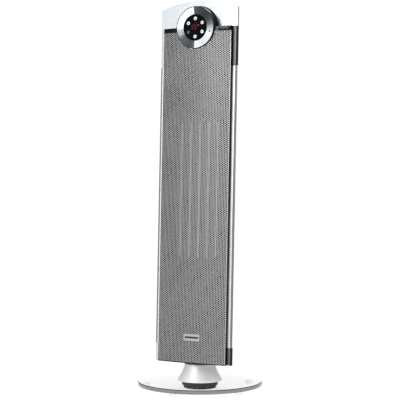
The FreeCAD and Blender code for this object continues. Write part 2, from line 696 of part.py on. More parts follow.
def make_fin_packs():
    """Aluminium fins between the bars, each pack one comb of thin plates."""
    rail = 0.8
    pitch = 4.5
    fin = 0.7
    packs = []
    places = bar_places()
    for left, right in zip(places[:-1], places[1:]):
        x0 = left + BAR_HALF_W
        x1 = right - BAR_HALF_W
        pack = box(x0, x1, HEATER_FRONT_Y + 1, HEATER_BACK_Y - 1, HEATER_BOTTOM_Z, HEATER_TOP_Z)
        gaps = []
        count = int((HEATER_TOP_Z - HEATER_BOTTOM_Z) / pitch)
        for i in range(count):
            z = HEATER_BOTTOM_Z + fin + pitch * i
            gaps.append(box(x0 + rail, x1 - rail, HEATER_FRONT_Y, HEATER_BACK_Y, z, z + pitch - fin))
        packs.append(pack.cut(Part.makeCompound(gaps)))
    put_tower("fin_packs", packs)


def make_thermal_cutout():
    """Button thermostat on the heater frame's top rail."""
    x = BAR_PITCH
    y = (HEATER_FRONT_Y + HEATER_BACK_Y) / 2
    z = HEATER_TOP_Z + HEATER_RIM
    can = rod(5.8, (x, y, z), (x, y, z + 6))
    lugs = [box(x + side - 1.5, x + side + 1.5, y - 0.4, y + 0.4, z + 5, z + 10) for side in (-3.5, 3.5)]
    put_tower("thermal_cutout", [fuse([can] + lugs)])


# ---------------------------------------------------------------- fan
MOTOR_TOP_Z = FAN_BOTTOM_Z - 6
MOTOR_R = 19.0
MOTOR_H = 40.0
MOTOR_NOSE_R = 8.0
MOTOR_NOSE_H = 2.0
BUSH_R = 7.0
BUSH_H = 8.0
BRACKET_HALF_W = 30.0
BRACKET_THICK = 1.5
SHAFT_R = 3.0


def make_fan_impeller():
    """Cross-flow wheel: curved blades between round discs."""
    hub_z = [FAN_BOTTOM_Z, (FAN_BOTTOM_Z + FAN_TOP_Z) / 2 - 1, FAN_TOP_Z - 2]
    discs = []
    for z in hub_z:
        discs.append(pipe(FAN_R, SHAFT_R, (0, FAN_Y, z), (0, FAN_Y, z + 2)))
    blades = []
    for i in range(FAN_BLADES):
        base = 360.0 * i / FAN_BLADES
        points = []
        for r, turn in ((15.2, 0), (17.0, 4), (19.0, 5), (20.6, 3)):
            a = math.radians(base + turn)
            points.append((r * math.cos(a), r * math.sin(a)))
        for r, turn in ((20.6, 6), (19.0, 8), (17.0, 7), (15.2, 4)):
            a = math.radians(base + turn)
            points.append((r * math.cos(a), r * math.sin(a)))
        blade = polygon_prism(points, FAN_BOTTOM_Z + 1, FAN_TOP_Z - 1)
        blade.translate(Vector(0, FAN_Y, 0))
        blades.append(blade)
    put_tower("fan_impeller", [fuse(discs + blades)])


def make_fan_shaft():
    """Steel shaft through the wheel, from the motor to the upper bearing."""
    put_tower("fan_shaft", [rod(SHAFT_R, (0, FAN_Y, MOTOR_TOP_Z - 20), (0, FAN_Y, FAN_TOP_Z + 14))])


def make_fan_motor():
    """Round motor under the wheel."""
    can_top = MOTOR_TOP_Z - MOTOR_NOSE_H
    can_bottom = can_top - MOTOR_H
    can = rod(MOTOR_R, (0, FAN_Y, can_bottom), (0, FAN_Y, can_top))
    nose = rod(MOTOR_NOSE_R, (0, FAN_Y, can_top - 1), (0, FAN_Y, MOTOR_TOP_Z))
    tail = rod(MOTOR_NOSE_R, (0, FAN_Y, can_bottom - 4), (0, FAN_Y, can_bottom + 1))
    bore = rod(SHAFT_R + SHAFT_FIT, (0, FAN_Y, MOTOR_TOP_Z - 22), (0, FAN_Y, MOTOR_TOP_Z + 1))
    put_tower("fan_motor", [fuse([can, nose, tail]).cut(bore)])


def make_motor_bracket():
    """Bent plate from the chassis that clasps the motor's nose."""
    z = MOTOR_TOP_Z - MOTOR_NOSE_H
    half_w = BRACKET_HALF_W
    shelf = box(-half_w, half_w, PLATE_BACK_Y, FAN_Y + 16, z, z + BRACKET_THICK)
    hole = rod(MOTOR_NOSE_R + 0.1, (0, FAN_Y, z - 1), (0, FAN_Y, z + 3))
    tab = box(-half_w, half_w, PLATE_BACK_Y, PLATE_BACK_Y + BRACKET_THICK, z - 18, z + 0.5)
    put_tower("motor_bracket", [fuse([shelf, tab]).cut(hole)])


def make_fan_bearing():
    """Upper bearing bush, and the bracket that holds it."""
    z = FAN_TOP_Z + 6
    half_w = BRACKET_HALF_W
    bush = pipe(BUSH_R, SHAFT_R + SHAFT_FIT, (0, FAN_Y, z), (0, FAN_Y, z + BUSH_H))
    put_tower("fan_bearing", [bush])
    shelf = box(-half_w, half_w, PLATE_BACK_Y, FAN_Y + 16, z + 2.5, z + 4.5)
    tab = box(-half_w, half_w, PLATE_BACK_Y, PLATE_BACK_Y + BRACKET_THICK, z + 4, z + 18)
    hole = rod(BUSH_R, (0, FAN_Y, z), (0, FAN_Y, z + BUSH_H))
    put_tower("bearing_bracket", [fuse([shelf, tab]).cut(hole)])


def curved_wall(radius, thick, start_deg, end_deg, z0, z1):
    """Upright wall that follows part of a circle round the fan's axis."""
    def place(r, a):
        return Vector(r * math.cos(math.radians(a)), FAN_Y + r * math.sin(math.radians(a)), z0)
    middle = (start_deg + end_deg) / 2
    outer = radius + thick
    edges = [Part.Arc(place(radius, start_deg), place(radius, middle), place(radius, end_deg)).toShape(),
             Part.makeLine(place(radius, end_deg), place(outer, end_deg)),
             Part.Arc(place(outer, end_deg), place(outer, middle), place(outer, start_deg)).toShape(),
             Part.makeLine(place(outer, start_deg), place(radius, start_deg))]
    return Part.Face(Part.Wire(edges)).extrude(Vector(0, 0, z1 - z0))


DUCT_HALF_W = 47.5
DUCT_WALL = 1.6
DUCT_END_THICK = 1.5


def make_fan_duct():
    """Scroll wall and tongue that lead the air from the wheel to the heater, with a plate at each end."""
    z0 = FAN_BOTTOM_Z - 2.5
    z1 = FAN_TOP_Z + 2.5
    wall_r = FAN_R + 1.5
    scroll = curved_wall(wall_r, DUCT_WALL, 125, 205, z0, z1)
    tongue = curved_wall(wall_r, DUCT_WALL, -25, 15, z0, z1)
    flare = [(20.4, 9.5), (21.9, 9.0), (DUCT_HALF_W, HEATER_BACK_Y), (DUCT_HALF_W - 2, HEATER_BACK_Y)]
    right = polygon_prism(flare, z0, z1)
    left = mirror_x(right)
    end_outline = [(-DUCT_HALF_W, HEATER_BACK_Y), (DUCT_HALF_W, HEATER_BACK_Y), (26, 14), (26, 34), (-26, 34),
                   (-26, 14)]
    ends = []
    for z in (z0, z1 - DUCT_END_THICK):
        plate = polygon_prism(end_outline, z, z + DUCT_END_THICK)
        ends.append(plate.cut(rod(SHAFT_R + 2.5, (0, FAN_Y, z - 1), (0, FAN_Y, z + 3))))
    put_tower("fan_duct", [fuse([scroll, tongue, left, right] + ends)])


# ---------------------------------------------------------------- electrics in the tower
MAINS_BOARD_HALF_W = 50.0
MAINS_BOARD_Z0 = 122.0
MAINS_BOARD_Z1 = 192.0
STANDOFF_H = 8.0
STANDOFF_INSET = 4.0


def make_power_board():
    """Mains board low in the tower: relays, a choke, capacitors and a filter, on four standoffs."""
    y = PLATE_BACK_Y + STANDOFF_H
    face = y + BOARD_THICK - 0.1
    z0 = MAINS_BOARD_Z0
    pieces = [box(-MAINS_BOARD_HALF_W, MAINS_BOARD_HALF_W, y, y + BOARD_THICK, z0, MAINS_BOARD_Z1)]
    for x in (-40, -20, 0):
        relay = box(x, x + 16, face, face + 15.5, z0 + 38, z0 + 60)
        pieces.append(relay)
    choke = rod(8, (34, face, z0 + 50), (34, face + 14.5, z0 + 50))
    capacitor = rod(6, (34, face, z0 + 20), (34, face + 22.5, z0 + 20))
    transformer = box(-40, -10, face, face + 18.5, z0 + 6, z0 + 28)
    mains_filter = box(-4, 14, face, face + 8.5, z0 + 8, z0 + 28)
    pieces += [choke, capacitor, transformer, mains_filter]
    reach = MAINS_BOARD_HALF_W - STANDOFF_INSET
    for x in (-reach, reach):
        for z in (z0 + STANDOFF_INSET, MAINS_BOARD_Z1 - STANDOFF_INSET):
            pieces.append(rod(2.5, (x, PLATE_BACK_Y, z), (x, y + 0.5, z)))
    put_tower("power_board", [fuse(pieces)])


TERMINAL_Z = 96.0
TERMINAL_POLES = (-16, -8, 0)
TIP_SWITCH_X = 54.0
TIP_SWITCH_Z = 82.0
SENSOR_X = -60.0
SENSOR_Z = 171.0


def make_terminal_block():
    """Screw terminal for the mains lead."""
    z = TERMINAL_Z
    block = box(-20, 4, -14, -2, z - 8, z + 8)
    holes = [rod(1.8, (x, -15, z), (x, -8, z)) for x in TERMINAL_POLES]
    foot = box(-20, 4, PLATE_BACK_Y, -13.5, z - 8, z - 5)
    put_tower("terminal_block", [cut(fuse([block, foot]), holes)])


def make_tip_switch():
    """Switch that cuts the power if the tower falls over."""
    x = TIP_SWITCH_X
    z = TIP_SWITCH_Z
    floor = TOWER_BOTTOM_Z + CAP_FLOOR_H
    case = box(x - 10, x + 10, -18, -2, z - 10, z + 10)
    foot = box(x - 10, x + 10, -18, 4, floor, floor + 2)
    stem = box(x - 4, x + 4, -14, -6, floor + 1, z - 9)
    put_tower("tip_over_switch", [fuse([case, stem, foot])])


def make_room_sensor():
    """Bead thermistor on a small clip beside the power board."""
    x = SENSOR_X
    z = SENSOR_Z
    clip = box(x - 4, x + 4, PLATE_BACK_Y, -8, z - 1, z + 1)
    bead = rod(2.4, (x, -8.5, z), (x, -1, z))
    put_tower("room_sensor", [fuse([clip, bead])])


def make_cord_gland():
    """Empty bush in the back of the shell where the mains lead comes in, with a blind socket for it."""
    back = SHELL_BACK_Y
    inner_end = back - 9
    barrel = rod(GLAND_R - SHAFT_FIT, (0, inner_end, GLAND_Z), (0, back + 0.2, GLAND_Z))
    lip = rod(GLAND_R + 2.2, (0, back - 0.6, GLAND_Z), (0, back + 2.0, GLAND_Z))
    lip = lip.cut(shell_slab(0, GLAND_Z - 15, GLAND_Z + 15))
    nut = rod(GLAND_R + 2.5, (0, inner_end, GLAND_Z), (0, back - SHELL_WALL - 0.8, GLAND_Z))
    socket = rod(GLAND_BORE_R, (0, inner_end + 3, GLAND_Z), (0, back + 5, GLAND_Z))
    put_tower("cord_gland", [fuse([barrel, lip, nut]).cut(socket)])


ROCKER_TILT = 8.0
ROCKER_HALF_W = 7.6
ROCKER_Y = SHELL_BACK_Y - 3.0
ROCKER_PIN_R = 1.4
ROCKER_PIN_HALF_L = 9.2


def rocker_pin(clearance):
    """Pin that the rocker tilts on, wider all round by the clearance."""
    reach = ROCKER_PIN_HALF_L + clearance
    return rod(ROCKER_PIN_R + clearance, (-reach, ROCKER_Y, SWITCH_Z), (reach, ROCKER_Y, SWITCH_Z))


def make_power_switch():
    """Switch body with a frame over the shell, and its rocker, held with the lower edge pressed in."""
    y1 = SHELL_BACK_Y
    body = box(-SWITCH_HALF_W + 0.1, SWITCH_HALF_W - 0.1, y1 - 22, y1 + 0.3,
               SWITCH_Z - SWITCH_HALF_H + 0.1, SWITCH_Z + SWITCH_HALF_H - 0.1)
    rim = box(-SWITCH_HALF_W - 1.5, SWITCH_HALF_W + 1.5, y1 - 3, y1 + 1.6,
              SWITCH_Z - SWITCH_HALF_H - 1.5, SWITCH_Z + SWITCH_HALF_H + 1.5)
    rim = rim.cut(shell_slab(0, SWITCH_Z - 20, SWITCH_Z + 20))
    well = box(-ROCKER_HALF_W - 0.4, ROCKER_HALF_W + 0.4, y1 - 9, y1 + 5, SWITCH_Z - 6.4, SWITCH_Z + 6.4)
    put_tower("power_switch_frame", [cut(fuse([body, rim]), [well, rocker_pin(SHAFT_FIT)])])
    crown_y = y1 + 1.4
    side = [(-5.6, crown_y - ROCKER_Y + 0.6), (0, crown_y - ROCKER_Y - 0.5), (5.6, crown_y - ROCKER_Y + 0.6),
            (4.4, -2.0), (0, -4.0), (-4.4, -2.0)]
    loop = [Vector(-ROCKER_HALF_W, ROCKER_Y + y, SWITCH_Z + z) for z, y in side]
    loop.append(loop[0])
    rocker = fuse([Part.Face(Part.makePolygon(loop)).extrude(Vector(2 * ROCKER_HALF_W, 0, 0)), rocker_pin(0)])
    rocker.rotate(Vector(0, ROCKER_Y, SWITCH_Z), X_AXIS, -ROCKER_TILT)
    put_tower("power_rocker", [rocker])


# ---------------------------------------------------------------- control drum
FASCIA_FRONT_Y = DRUM_FACE_Y + 0.9
FASCIA_THICK = 1.5
BUTTON_FRONT_Y = FASCIA_FRONT_Y - 0.6
BUTTON_BACK_Y = BUTTON_FRONT_Y + 5.0
BOARD_FRONT_Y = -37.0
GASKET_THICK = 1.2


def ring_about_drum(points):
    """Solid turned about the drum's axis from (radius, y) corners."""
    loop = [Vector(r, y, 0) for r, y in points]
    loop.append(loop[0])
    solid = Part.Face(Part.makePolygon(loop)).revolve(Vector(0, 0, 0), Y_AXIS, 360)
    solid.translate(Vector(0, 0, DRUM_Z))
    return solid


def make_drum_housing():
    """Round cup that stands on the arch cover and passes over the module's top edge."""
    back = PLATE_FRONT_Y - GASKET_THICK
    inner = DRUM_R - DRUM_WALL
    cup = ring_about_drum([(0, back), (DRUM_R, back), (DRUM_R, DRUM_FACE_Y + 0.5), (DRUM_R - 0.5, DRUM_FACE_Y),
                           (inner, DRUM_FACE_Y), (inner, back - 2), (0, back - 2)])
    wires = face_rod(WIRE_HOLE_R - 4, 0, DRUM_Z, back - 5, back + 1)
    bosses = []
    for angle in (90, 210, 330):
        x = 33 * math.cos(math.radians(angle))
        z = DRUM_Z + 33 * math.sin(math.radians(angle))
        bosses.append(face_rod(3, x, z, BOARD_FRONT_Y + BOARD_THICK, back - 1))
    put_tower("drum_housing", [fuse([cup] + bosses).cut(wires)])


def make_drum_gasket():
    """Dark ring under the drum."""
    back = PLATE_FRONT_Y
    ring = ring_about_drum([(30, back), (DRUM_R + 2.2, back), (DRUM_R + 2.2, back - GASKET_THICK),
                            (30, back - GASKET_THICK)])
    below = box(-60, 60, -60, 0, 600, TOWER_TOP_Z + 0.2)
    keep = face_rod(DRUM_R - 0.1, 0, DRUM_Z, -60, 0)
    put_tower("drum_gasket", [ring.cut(below.cut(keep))])


def make_drum_ring():
    """Spun silver ring, dished towards the fascia, with a ledge that the fascia rests on."""
    inner = FASCIA_R + 0.15
    ledge_y = FASCIA_FRONT_Y + FASCIA_THICK + 0.02
    back_y = FASCIA_FRONT_Y + FASCIA_THICK + 1.5
    ring = ring_about_drum([(inner, FASCIA_FRONT_Y - 0.2), (RING_OUTER_R, DRUM_FACE_Y + 0.25),
                            (RING_OUTER_R, DRUM_FACE_Y + 2.4), (inner + 3, back_y), (inner - 2, back_y),
                            (inner - 2, ledge_y), (inner, ledge_y)])
    put_tower("drum_ring", [ring])


def make_fascia():
    """Black glass disc with a hole for each button."""
    disc = face_rod(FASCIA_R, 0, DRUM_Z, FASCIA_FRONT_Y, FASCIA_FRONT_Y + FASCIA_THICK)
    holes = [face_rod(BUTTON_R + 0.25, x, z, -60, -30) for _, x, z in button_places()]
    put_tower("fascia", [cut(disc, holes)])


def make_buttons():
    """Round caps with a collar behind the fascia, one node each."""
    for name, x, z in button_places():
        cap = face_rod(BUTTON_R, x, z, BUTTON_FRONT_Y, BUTTON_BACK_Y)
        collar_y = FASCIA_FRONT_Y + FASCIA_THICK + 0.1
        collar = face_rod(BUTTON_R + 0.8, x, z, collar_y, collar_y + 1.0)
        button = fuse([cap, collar])
        rim = [e for e in button.Edges if e.BoundBox.YMax < BUTTON_FRONT_Y + 0.05]
        put_tower("button_" + name, [button.makeFillet(0.4, rim)])


def make_key_switches():
    """Small tactile switches, one behind each button."""
    switches = []
    for _, x, z in button_places():
        body = box(x - 3, x + 3, BOARD_FRONT_Y - 2.0, BOARD_FRONT_Y, z - 3, z + 3)
        stem = face_rod(1.5, x, z, BUTTON_BACK_Y + BUTTON_TRAVEL + 0.2, BOARD_FRONT_Y - 1.5)
        switches.append(fuse([body, stem]))
    put_tower("key_switches", switches)


def make_display():
    """Two-digit display and a small lamp behind the fascia."""
    y0 = FASCIA_FRONT_Y + FASCIA_THICK + 0.1
    case = box(-8, 8, y0, BOARD_FRONT_Y, DRUM_Z - 6, DRUM_Z + 6)
    put_tower("display_module", [case])


def make_control_board():
    """Round board that carries the switches and the display."""
    disc = face_rod(37.5, 0, DRUM_Z, BOARD_FRONT_Y, BOARD_FRONT_Y + BOARD_THICK)
    chip = box(12, 24, BOARD_FRONT_Y + BOARD_THICK - 0.1, BOARD_FRONT_Y + BOARD_THICK + 1.4,
               DRUM_Z + 6, DRUM_Z + 14)
    put_tower("control_board", [fuse([disc, chip])])


# ---------------------------------------------------------------- build and write
def build():
    make_glass_disc()
    make_feet()
    make_hub()
    make_hub_screws()
    make_gasket()
    make_neck()
    make_post()
    make_thrust_ring()
    make_fixed_gear()
    make_osc_pinion()
    make_osc_motor()
    make_osc_screws()
    make_bottom_cap()
    make_rear_shell()
    make_top_cap()
    make_arch_cover()
    make_lower_cheeks()
    make_side_trims()
    make_edge_mouldings()
    make_bezel()
    make_mesh()
    make_nameplate()
    make_chassis()
    make_housing_screws()
    make_heater_frame()
    make_ceramic_bars()
    make_fin_packs()
    make_thermal_cutout()
    make_fan_impeller()
    make_fan_shaft()
    make_fan_motor()
    make_motor_bracket()
    make_fan_bearing()
    make_fan_duct()
    make_power_board()
    make_terminal_block()
    make_tip_switch()
    make_room_sensor()
    make_cord_gland()
    make_power_switch()
    make_drum_housing()
    make_drum_gasket()
    make_drum_ring()
    make_fascia()
    make_buttons()
    make_key_switches()
    make_display()
    make_control_board()


def write():
    os.makedirs("parts", exist_ok=True)
    for name, shape in nodes.items():
        shape.exportStep(os.path.join("parts", name + ".step"))
        box_ = shape.BoundBox
        print("%-20s solids %3d valid %s vol %9.1f  x %.1f..%.1f y %.1f..%.1f z %.1f..%.1f" % (
            name, len(shape.Solids), shape.isValid(), shape.Volume,
            box_.XMin, box_.XMax, box_.YMin, box_.YMax, box_.ZMin, box_.ZMax))


build()
write()
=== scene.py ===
import json
import math

import bmesh
import bpy
from mathutils import Matrix, Vector

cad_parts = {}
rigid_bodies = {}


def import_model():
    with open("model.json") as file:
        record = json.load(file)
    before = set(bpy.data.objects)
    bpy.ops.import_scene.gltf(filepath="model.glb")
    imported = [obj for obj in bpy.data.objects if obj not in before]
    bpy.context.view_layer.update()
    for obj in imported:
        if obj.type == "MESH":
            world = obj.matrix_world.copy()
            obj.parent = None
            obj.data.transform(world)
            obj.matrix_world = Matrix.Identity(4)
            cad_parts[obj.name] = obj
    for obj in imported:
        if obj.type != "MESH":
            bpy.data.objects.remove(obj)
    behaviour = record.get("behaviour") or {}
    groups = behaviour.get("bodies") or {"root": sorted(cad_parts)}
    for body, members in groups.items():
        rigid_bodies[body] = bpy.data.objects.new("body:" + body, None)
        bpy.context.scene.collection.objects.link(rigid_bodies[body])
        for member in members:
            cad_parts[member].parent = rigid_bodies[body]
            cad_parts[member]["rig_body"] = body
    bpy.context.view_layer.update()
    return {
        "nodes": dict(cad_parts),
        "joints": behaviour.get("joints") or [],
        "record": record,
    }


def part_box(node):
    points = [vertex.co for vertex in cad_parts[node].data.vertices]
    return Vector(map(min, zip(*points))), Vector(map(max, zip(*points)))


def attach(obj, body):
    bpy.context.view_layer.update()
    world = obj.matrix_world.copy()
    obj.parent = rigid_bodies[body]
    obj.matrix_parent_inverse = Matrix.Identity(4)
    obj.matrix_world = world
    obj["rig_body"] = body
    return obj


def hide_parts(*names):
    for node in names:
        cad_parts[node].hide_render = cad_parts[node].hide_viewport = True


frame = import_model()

# Looks for the ceramic tower heater. Everything is in metres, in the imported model's frame.
# The tower leans back, so its pieces are drawn in tower coordinates (right, back, up) and then turned.

MM = 0.001

# ---------------------------------------------------------------- the tower's own directions
JOINTS = {joint["name"]: joint for joint in frame["joints"]}
RIGHT = Vector((1, 0, 0))
UP = Vector(JOINTS["fan_spin"]["axis"]).normalized()
BACK = UP.cross(RIGHT)
TOWER = Matrix((RIGHT, BACK, UP)).transposed()
TO_TOWER = TOWER.inverted()


def tower_box(node_name):
    """Lowest and highest corner of a CAD node in tower coordinates."""
    points = [TO_TOWER @ v.co for v in frame["nodes"][node_name].data.vertices]
    low = Vector([min(p[i] for p in points) for i in range(3)])
    high = Vector([max(p[i] for p in points) for i in range(3)])
    return low, high


# ---------------------------------------------------------------- materials
def material(name, color, rough, metal=0.0, **sockets):
    """New principled material. Extra sockets are given by name with _ for a space."""
    mat = bpy.data.materials.new(name)
    mat.use_nodes = True
    shader = mat.node_tree.nodes["Principled BSDF"]
    shader.inputs["Base Color"].default_value = (*color, 1.0)
    shader.inputs["Roughness"].default_value = rough
    shader.inputs["Metallic"].default_value = metal
    for key, value in sockets.items():
        shader.inputs[key.replace("_", " ")].default_value = value
    return mat


def node(mat, kind, links=(), **values):
    """New node of a material or world. links are (input, source socket); values set inputs or properties."""
    made = mat.node_tree.nodes.new(kind)
    for key, value in values.items():
        name = key.replace("_", " ")
        if name in made.inputs:
            made.inputs[name].default_value = value
        else:
            setattr(made, key, value)
    for key, source in links:
        mat.node_tree.links.new(source, made.inputs[key])
    return made


def principled(mat):
    """The material's main shader."""
    return mat.node_tree.nodes["Principled BSDF"]


def object_coords(mat, stretch=(1, 1, 1)):
    """Object coordinates in metres, stretched per axis."""
    coords = node(mat, "ShaderNodeTexCoord")
    mapping = node(mat, "ShaderNodeMapping", [("Vector", coords.outputs["Object"])])
    mapping.inputs["Scale"].default_value = stretch
    return mapping.outputs["Vector"]


def bump(mat, height, distance, strength=1.0):
    """Bump from a height socket, on top of any bump that is already there."""
    shader = principled(mat)
    made = node(mat, "ShaderNodeBump", [("Height", height)], Strength=strength, Distance=distance)
    if shader.inputs["Normal"].is_linked:
        mat.node_tree.links.new(shader.inputs["Normal"].links[0].from_socket, made.inputs["Normal"])
    mat.node_tree.links.new(made.outputs["Normal"], shader.inputs["Normal"])


def grain(mat, scale, distance, detail=2.0, stretch=(1, 1, 1)):
    """Fine moulded or painted grain as bump: its scale per metre and its depth in metres."""
    coords = object_coords(mat, stretch)
    noise = node(mat, "ShaderNodeTexNoise", [("Vector", coords)], Scale=scale, Detail=detail)
    bump(mat, noise.outputs["Fac"], distance)


def ramp(mat, factor, stops):
    """Colour ramp with stops of (position, colour); a grey may be one number."""
    made = node(mat, "ShaderNodeValToRGB", [("Fac", factor)])
    elements = made.color_ramp.elements
    while len(elements) < len(stops):
        elements.new(0.5)
    for element, (position, color) in zip(elements, stops):
        element.position = position
        if not hasattr(color, "__len__"):
            color = (color, color, color)
        element.color = (*color, 1.0)
    return made.outputs["Color"]


def link(mat, source, socket):
    """Feeds a socket of the material's main shader."""
    mat.node_tree.links.new(source, principled(mat).inputs[socket])


def scale_color(color, factor):
    return tuple(min(1.0, c * factor) for c in color)


def mottle(mat, color, scale, amount, rough=None):
    """Slow unevenness of colour, and of roughness when a (low, high) pair is given."""
    noise = node(mat, "ShaderNodeTexNoise", [("Vector", object_coords(mat))], Scale=scale, Detail=4.0)
    fac = noise.outputs["Fac"]
    darker = scale_color(color, 1 - amount)
    lighter = scale_color(color, 1 + amount)
    link(mat, ramp(mat, fac, [(0.3, darker), (0.7, lighter)]), "Base Color")
    if rough:
        link(mat, ramp(mat, fac, [(0.3, rough[0]), (0.7, rough[1])]), "Roughness")


def make_clear_glass():
    """Polished faces of the disc: nearly all of what is behind them shows through."""
    color = (0.10, 0.12, 0.12)
    mat = material("clear_glass", color, 0.03, IOR=1.5, Alpha=0.08)
    mottle(mat, color, 9.0, 0.05, (0.02, 0.05))
    grain(mat, 14.0, 0.00003, 1.0)
    return mat


# Index of the mirroring at the disc's edge, and the shares of mirroring between which the edge fades out.
EDGE_IOR = 3.8
EDGE_FADE = (0.40, 0.98)


def make_glass_edge(name, color, alpha):
    """Edge of the disc, with painted reflection in its colour: grey on the rim and near black at the
    arrises. Its far side, seen through the glass, mirrors all and fades into the face.
    """
    mat = material(name, color, 0.10, 0.55)
    mottle(mat, color, 25.0, 0.10, (0.08, 0.16))
    grain(mat, 500.0, 0.00003, 2.0)
    mirrored = node(mat, "ShaderNodeFresnel", IOR=EDGE_IOR)
    link(mat, ramp(mat, mirrored.outputs[0], [(EDGE_FADE[0], alpha), (EDGE_FADE[1], 0.0)]), "Alpha")
    return mat


def make_clear_plastic():
    color = (0.72, 0.74, 0.74)
    mat = material("clear_plastic", color, 0.10, IOR=1.46, Alpha=0.22)
    mottle(mat, color, 60.0, 0.05, (0.08, 0.14))
    grain(mat, 900.0, 0.00005)
    return mat


def make_black_plastic():
    color = (0.005, 0.005, 0.0055)
    mat = material("black_plastic", color, 0.5, Specular_IOR_Level=0.15)
    mottle(mat, color, 60.0, 0.25, (0.42, 0.56))
    grain(mat, 1800.0, 0.00005)
    return mat


def make_dark_shell():
    color = (0.035, 0.036, 0.039)
    mat = material("dark_shell", color, 0.45)
    mottle(mat, color, 25.0, 0.12, (0.40, 0.50))
    grain(mat, 1500.0, 0.00006, 3.0)
    return mat


def make_gloss_black():
    color = (0.002, 0.002, 0.0025)
    mat = material("gloss_black", color, 0.10, Specular_IOR_Level=0.3)
    mottle(mat, color, 30.0, 0.3, (0.08, 0.14))
    grain(mat, 90.0, 0.00002, 1.0)
    return mat


def make_silver_paint():
    """Metallic silver paint: a soft mirror with a faint orange peel."""
    color = (0.60, 0.635, 0.665)
    mat = material("silver_paint", color, 0.20, 0.85)
    mottle(mat, color, 20.0, 0.02, (0.18, 0.23))
    grain(mat, 45.0, 0.000004, 1.0)
    return mat


def make_cheek_painted_shade(name, color, rough):
    """Painted shade: darker metal for the right cheek's front and its rounded outer edge, standing for the
    black module mirrored in it.
    """
    mat = material(name, color, rough, 0.85)
    mottle(mat, color, 20.0, 0.03, (rough - 0.03, rough + 0.03))
    grain(mat, 45.0, 0.000004, 1.0)
    return mat


def make_chrome():
    """Satin bright trim, brushed along its length."""
    color = (0.90, 0.90, 0.90)
    mat = material("chrome_trim", color, 0.30, 0.75)
    mottle(mat, color, 40.0, 0.03, (0.26, 0.34))
    grain(mat, 900.0, 0.00002, 1.0, (1, 1, 0.02))
    return mat


def make_reflection_inlay():
    """Grey inlay of the edge mouldings, its grey a painted reflection of the room on the dark moulding,
    brushed along its length.
    """
    color = (0.20, 0.20, 0.205)
    mat = material("dark_trim", color, 0.34, 0.5)
    mottle(mat, color, 12.0, 0.10, (0.30, 0.40))
    grain(mat, 900.0, 0.00002, 1.0, (1, 1, 0.02))
    return mat


def make_mesh_steel():
    color = (0.62, 0.62, 0.62)
    mat = material("mesh_steel", color, 0.38, 0.45)
    mottle(mat, color, 12.0, 0.05, (0.32, 0.42))
    grain(mat, 1600.0, 0.00003)
    return mat


def make_satin_metal():
    """Bead-blasted and lacquered aluminium: a soft sheen with fine turned rings."""
    color = (0.88, 0.88, 0.88)
    mat = material("satin_metal", color, 0.42, 0.30, Specular_IOR_Level=0.3)
    mottle(mat, color, 18.0, 0.03, (0.38, 0.46))
    coords = object_coords(mat)
    split = node(mat, "ShaderNodeSeparateXYZ", [("Vector", coords)])
    rings = node(mat, "ShaderNodeTexNoise", [("W", split.outputs["Z"])], noise_dimensions="1D")
    rings.inputs["Scale"].default_value = 3500.0
    bump(mat, rings.outputs["Fac"], 0.00002, 0.6)
    return mat


def make_plain_metal(name, color, rough, scale=400.0):
    mat = material(name, color, rough, 1.0)
    mottle(mat, color, 35.0, 0.10, (rough * 0.8, rough * 1.25))
    grain(mat, scale, 0.00004, 2.0, (1, 1, 6))
    return mat


def make_plain_plastic(name, color, rough=0.45, **sockets):
    mat = material(name, color, rough, **sockets)
    mottle(mat, color, 40.0, 0.08, (rough * 0.9, rough * 1.15))
    grain(mat, 1200.0, 0.00004)
    return mat


def make_circuit_board():
    """Green solder mask with faint copper tracks under it."""
    mat = material("circuit_board", (0.02, 0.10, 0.05), 0.35)
    tracks = node(mat, "ShaderNodeTexBrick", [("Vector", object_coords(mat))], Scale=180.0)
    tracks.inputs["Color1"].default_value = (0.018, 0.10, 0.045, 1)
    tracks.inputs["Color2"].default_value = (0.022, 0.12, 0.055, 1)
    tracks.inputs["Mortar"].default_value = (0.05, 0.19, 0.08, 1)
    link(mat, tracks.outputs["Color"], "Base Color")
    bump(mat, tracks.outputs["Fac"], 0.00003, 0.4)
    return mat


# Painted reflection of the spun ring, as light and dark sectors: share of a turn from the right,
# anticlockwise, and brightness.
SPUN_PAINTED_REFLECTION = [(0.0, 0.34), (0.03, 0.15), (0.07, 0.06), (0.13, 0.035), (0.20, 0.045), (0.262, 0.07),
                 (0.268, 0.67), (0.495, 0.62), (0.51, 0.36), (0.56, 0.20), (0.60, 0.07), (0.70, 0.05),
                 (0.742, 0.09), (0.748, 0.66), (0.82, 0.55), (0.94, 0.76), (1.0, 0.34)]
SPUN_REFLECTION_TINT = (0.92, 1.02, 1.06)


def make_spun_silver():
    """Spun ring: fine concentric lines, and a painted reflection of light and dark sectors in its colour by
    angle.
    """
    mat = material("spun_silver", (0.8, 0.8, 0.8), 0.25, 1.0)
    turn = node(mat, "ShaderNodeUVMap", uv_map="turn")
    split = node(mat, "ShaderNodeSeparateXYZ", [("Vector", turn.outputs["UV"])])
    # Painted reflection: light and dark sectors in the colour by angle about the ring, tinted blue.
    stops = [(place, scale_color(SPUN_REFLECTION_TINT, level)) for place, level in SPUN_PAINTED_REFLECTION]
    painted_sectors = ramp(mat, split.outputs["X"], stops)
    lines = node(mat, "ShaderNodeTexNoise", [("W", split.outputs["Y"])], noise_dimensions="1D")
    lines.inputs["Scale"].default_value = 2500.0
    lines.inputs["Detail"].default_value = 3.0
    fine = ramp(mat, lines.outputs["Fac"], [(0.3, 0.88), (0.7, 1.0)])
    mixed = node(mat, "ShaderNodeMix", data_type="RGBA", blend_type="MULTIPLY")
    mixed.inputs["Factor"].default_value = 1.0
    mat.node_tree.links.new(painted_sectors, mixed.inputs["A"])
    mat.node_tree.links.new(fine, mixed.inputs["B"])
    link(mat, mixed.outputs["Result"], "Base Color")
    link(mat, ramp(mat, lines.outputs["Fac"], [(0.3, 0.20), (0.7, 0.32)]), "Roughness")
    bump(mat, lines.outputs["Fac"], 0.00002, 0.5)
    return mat


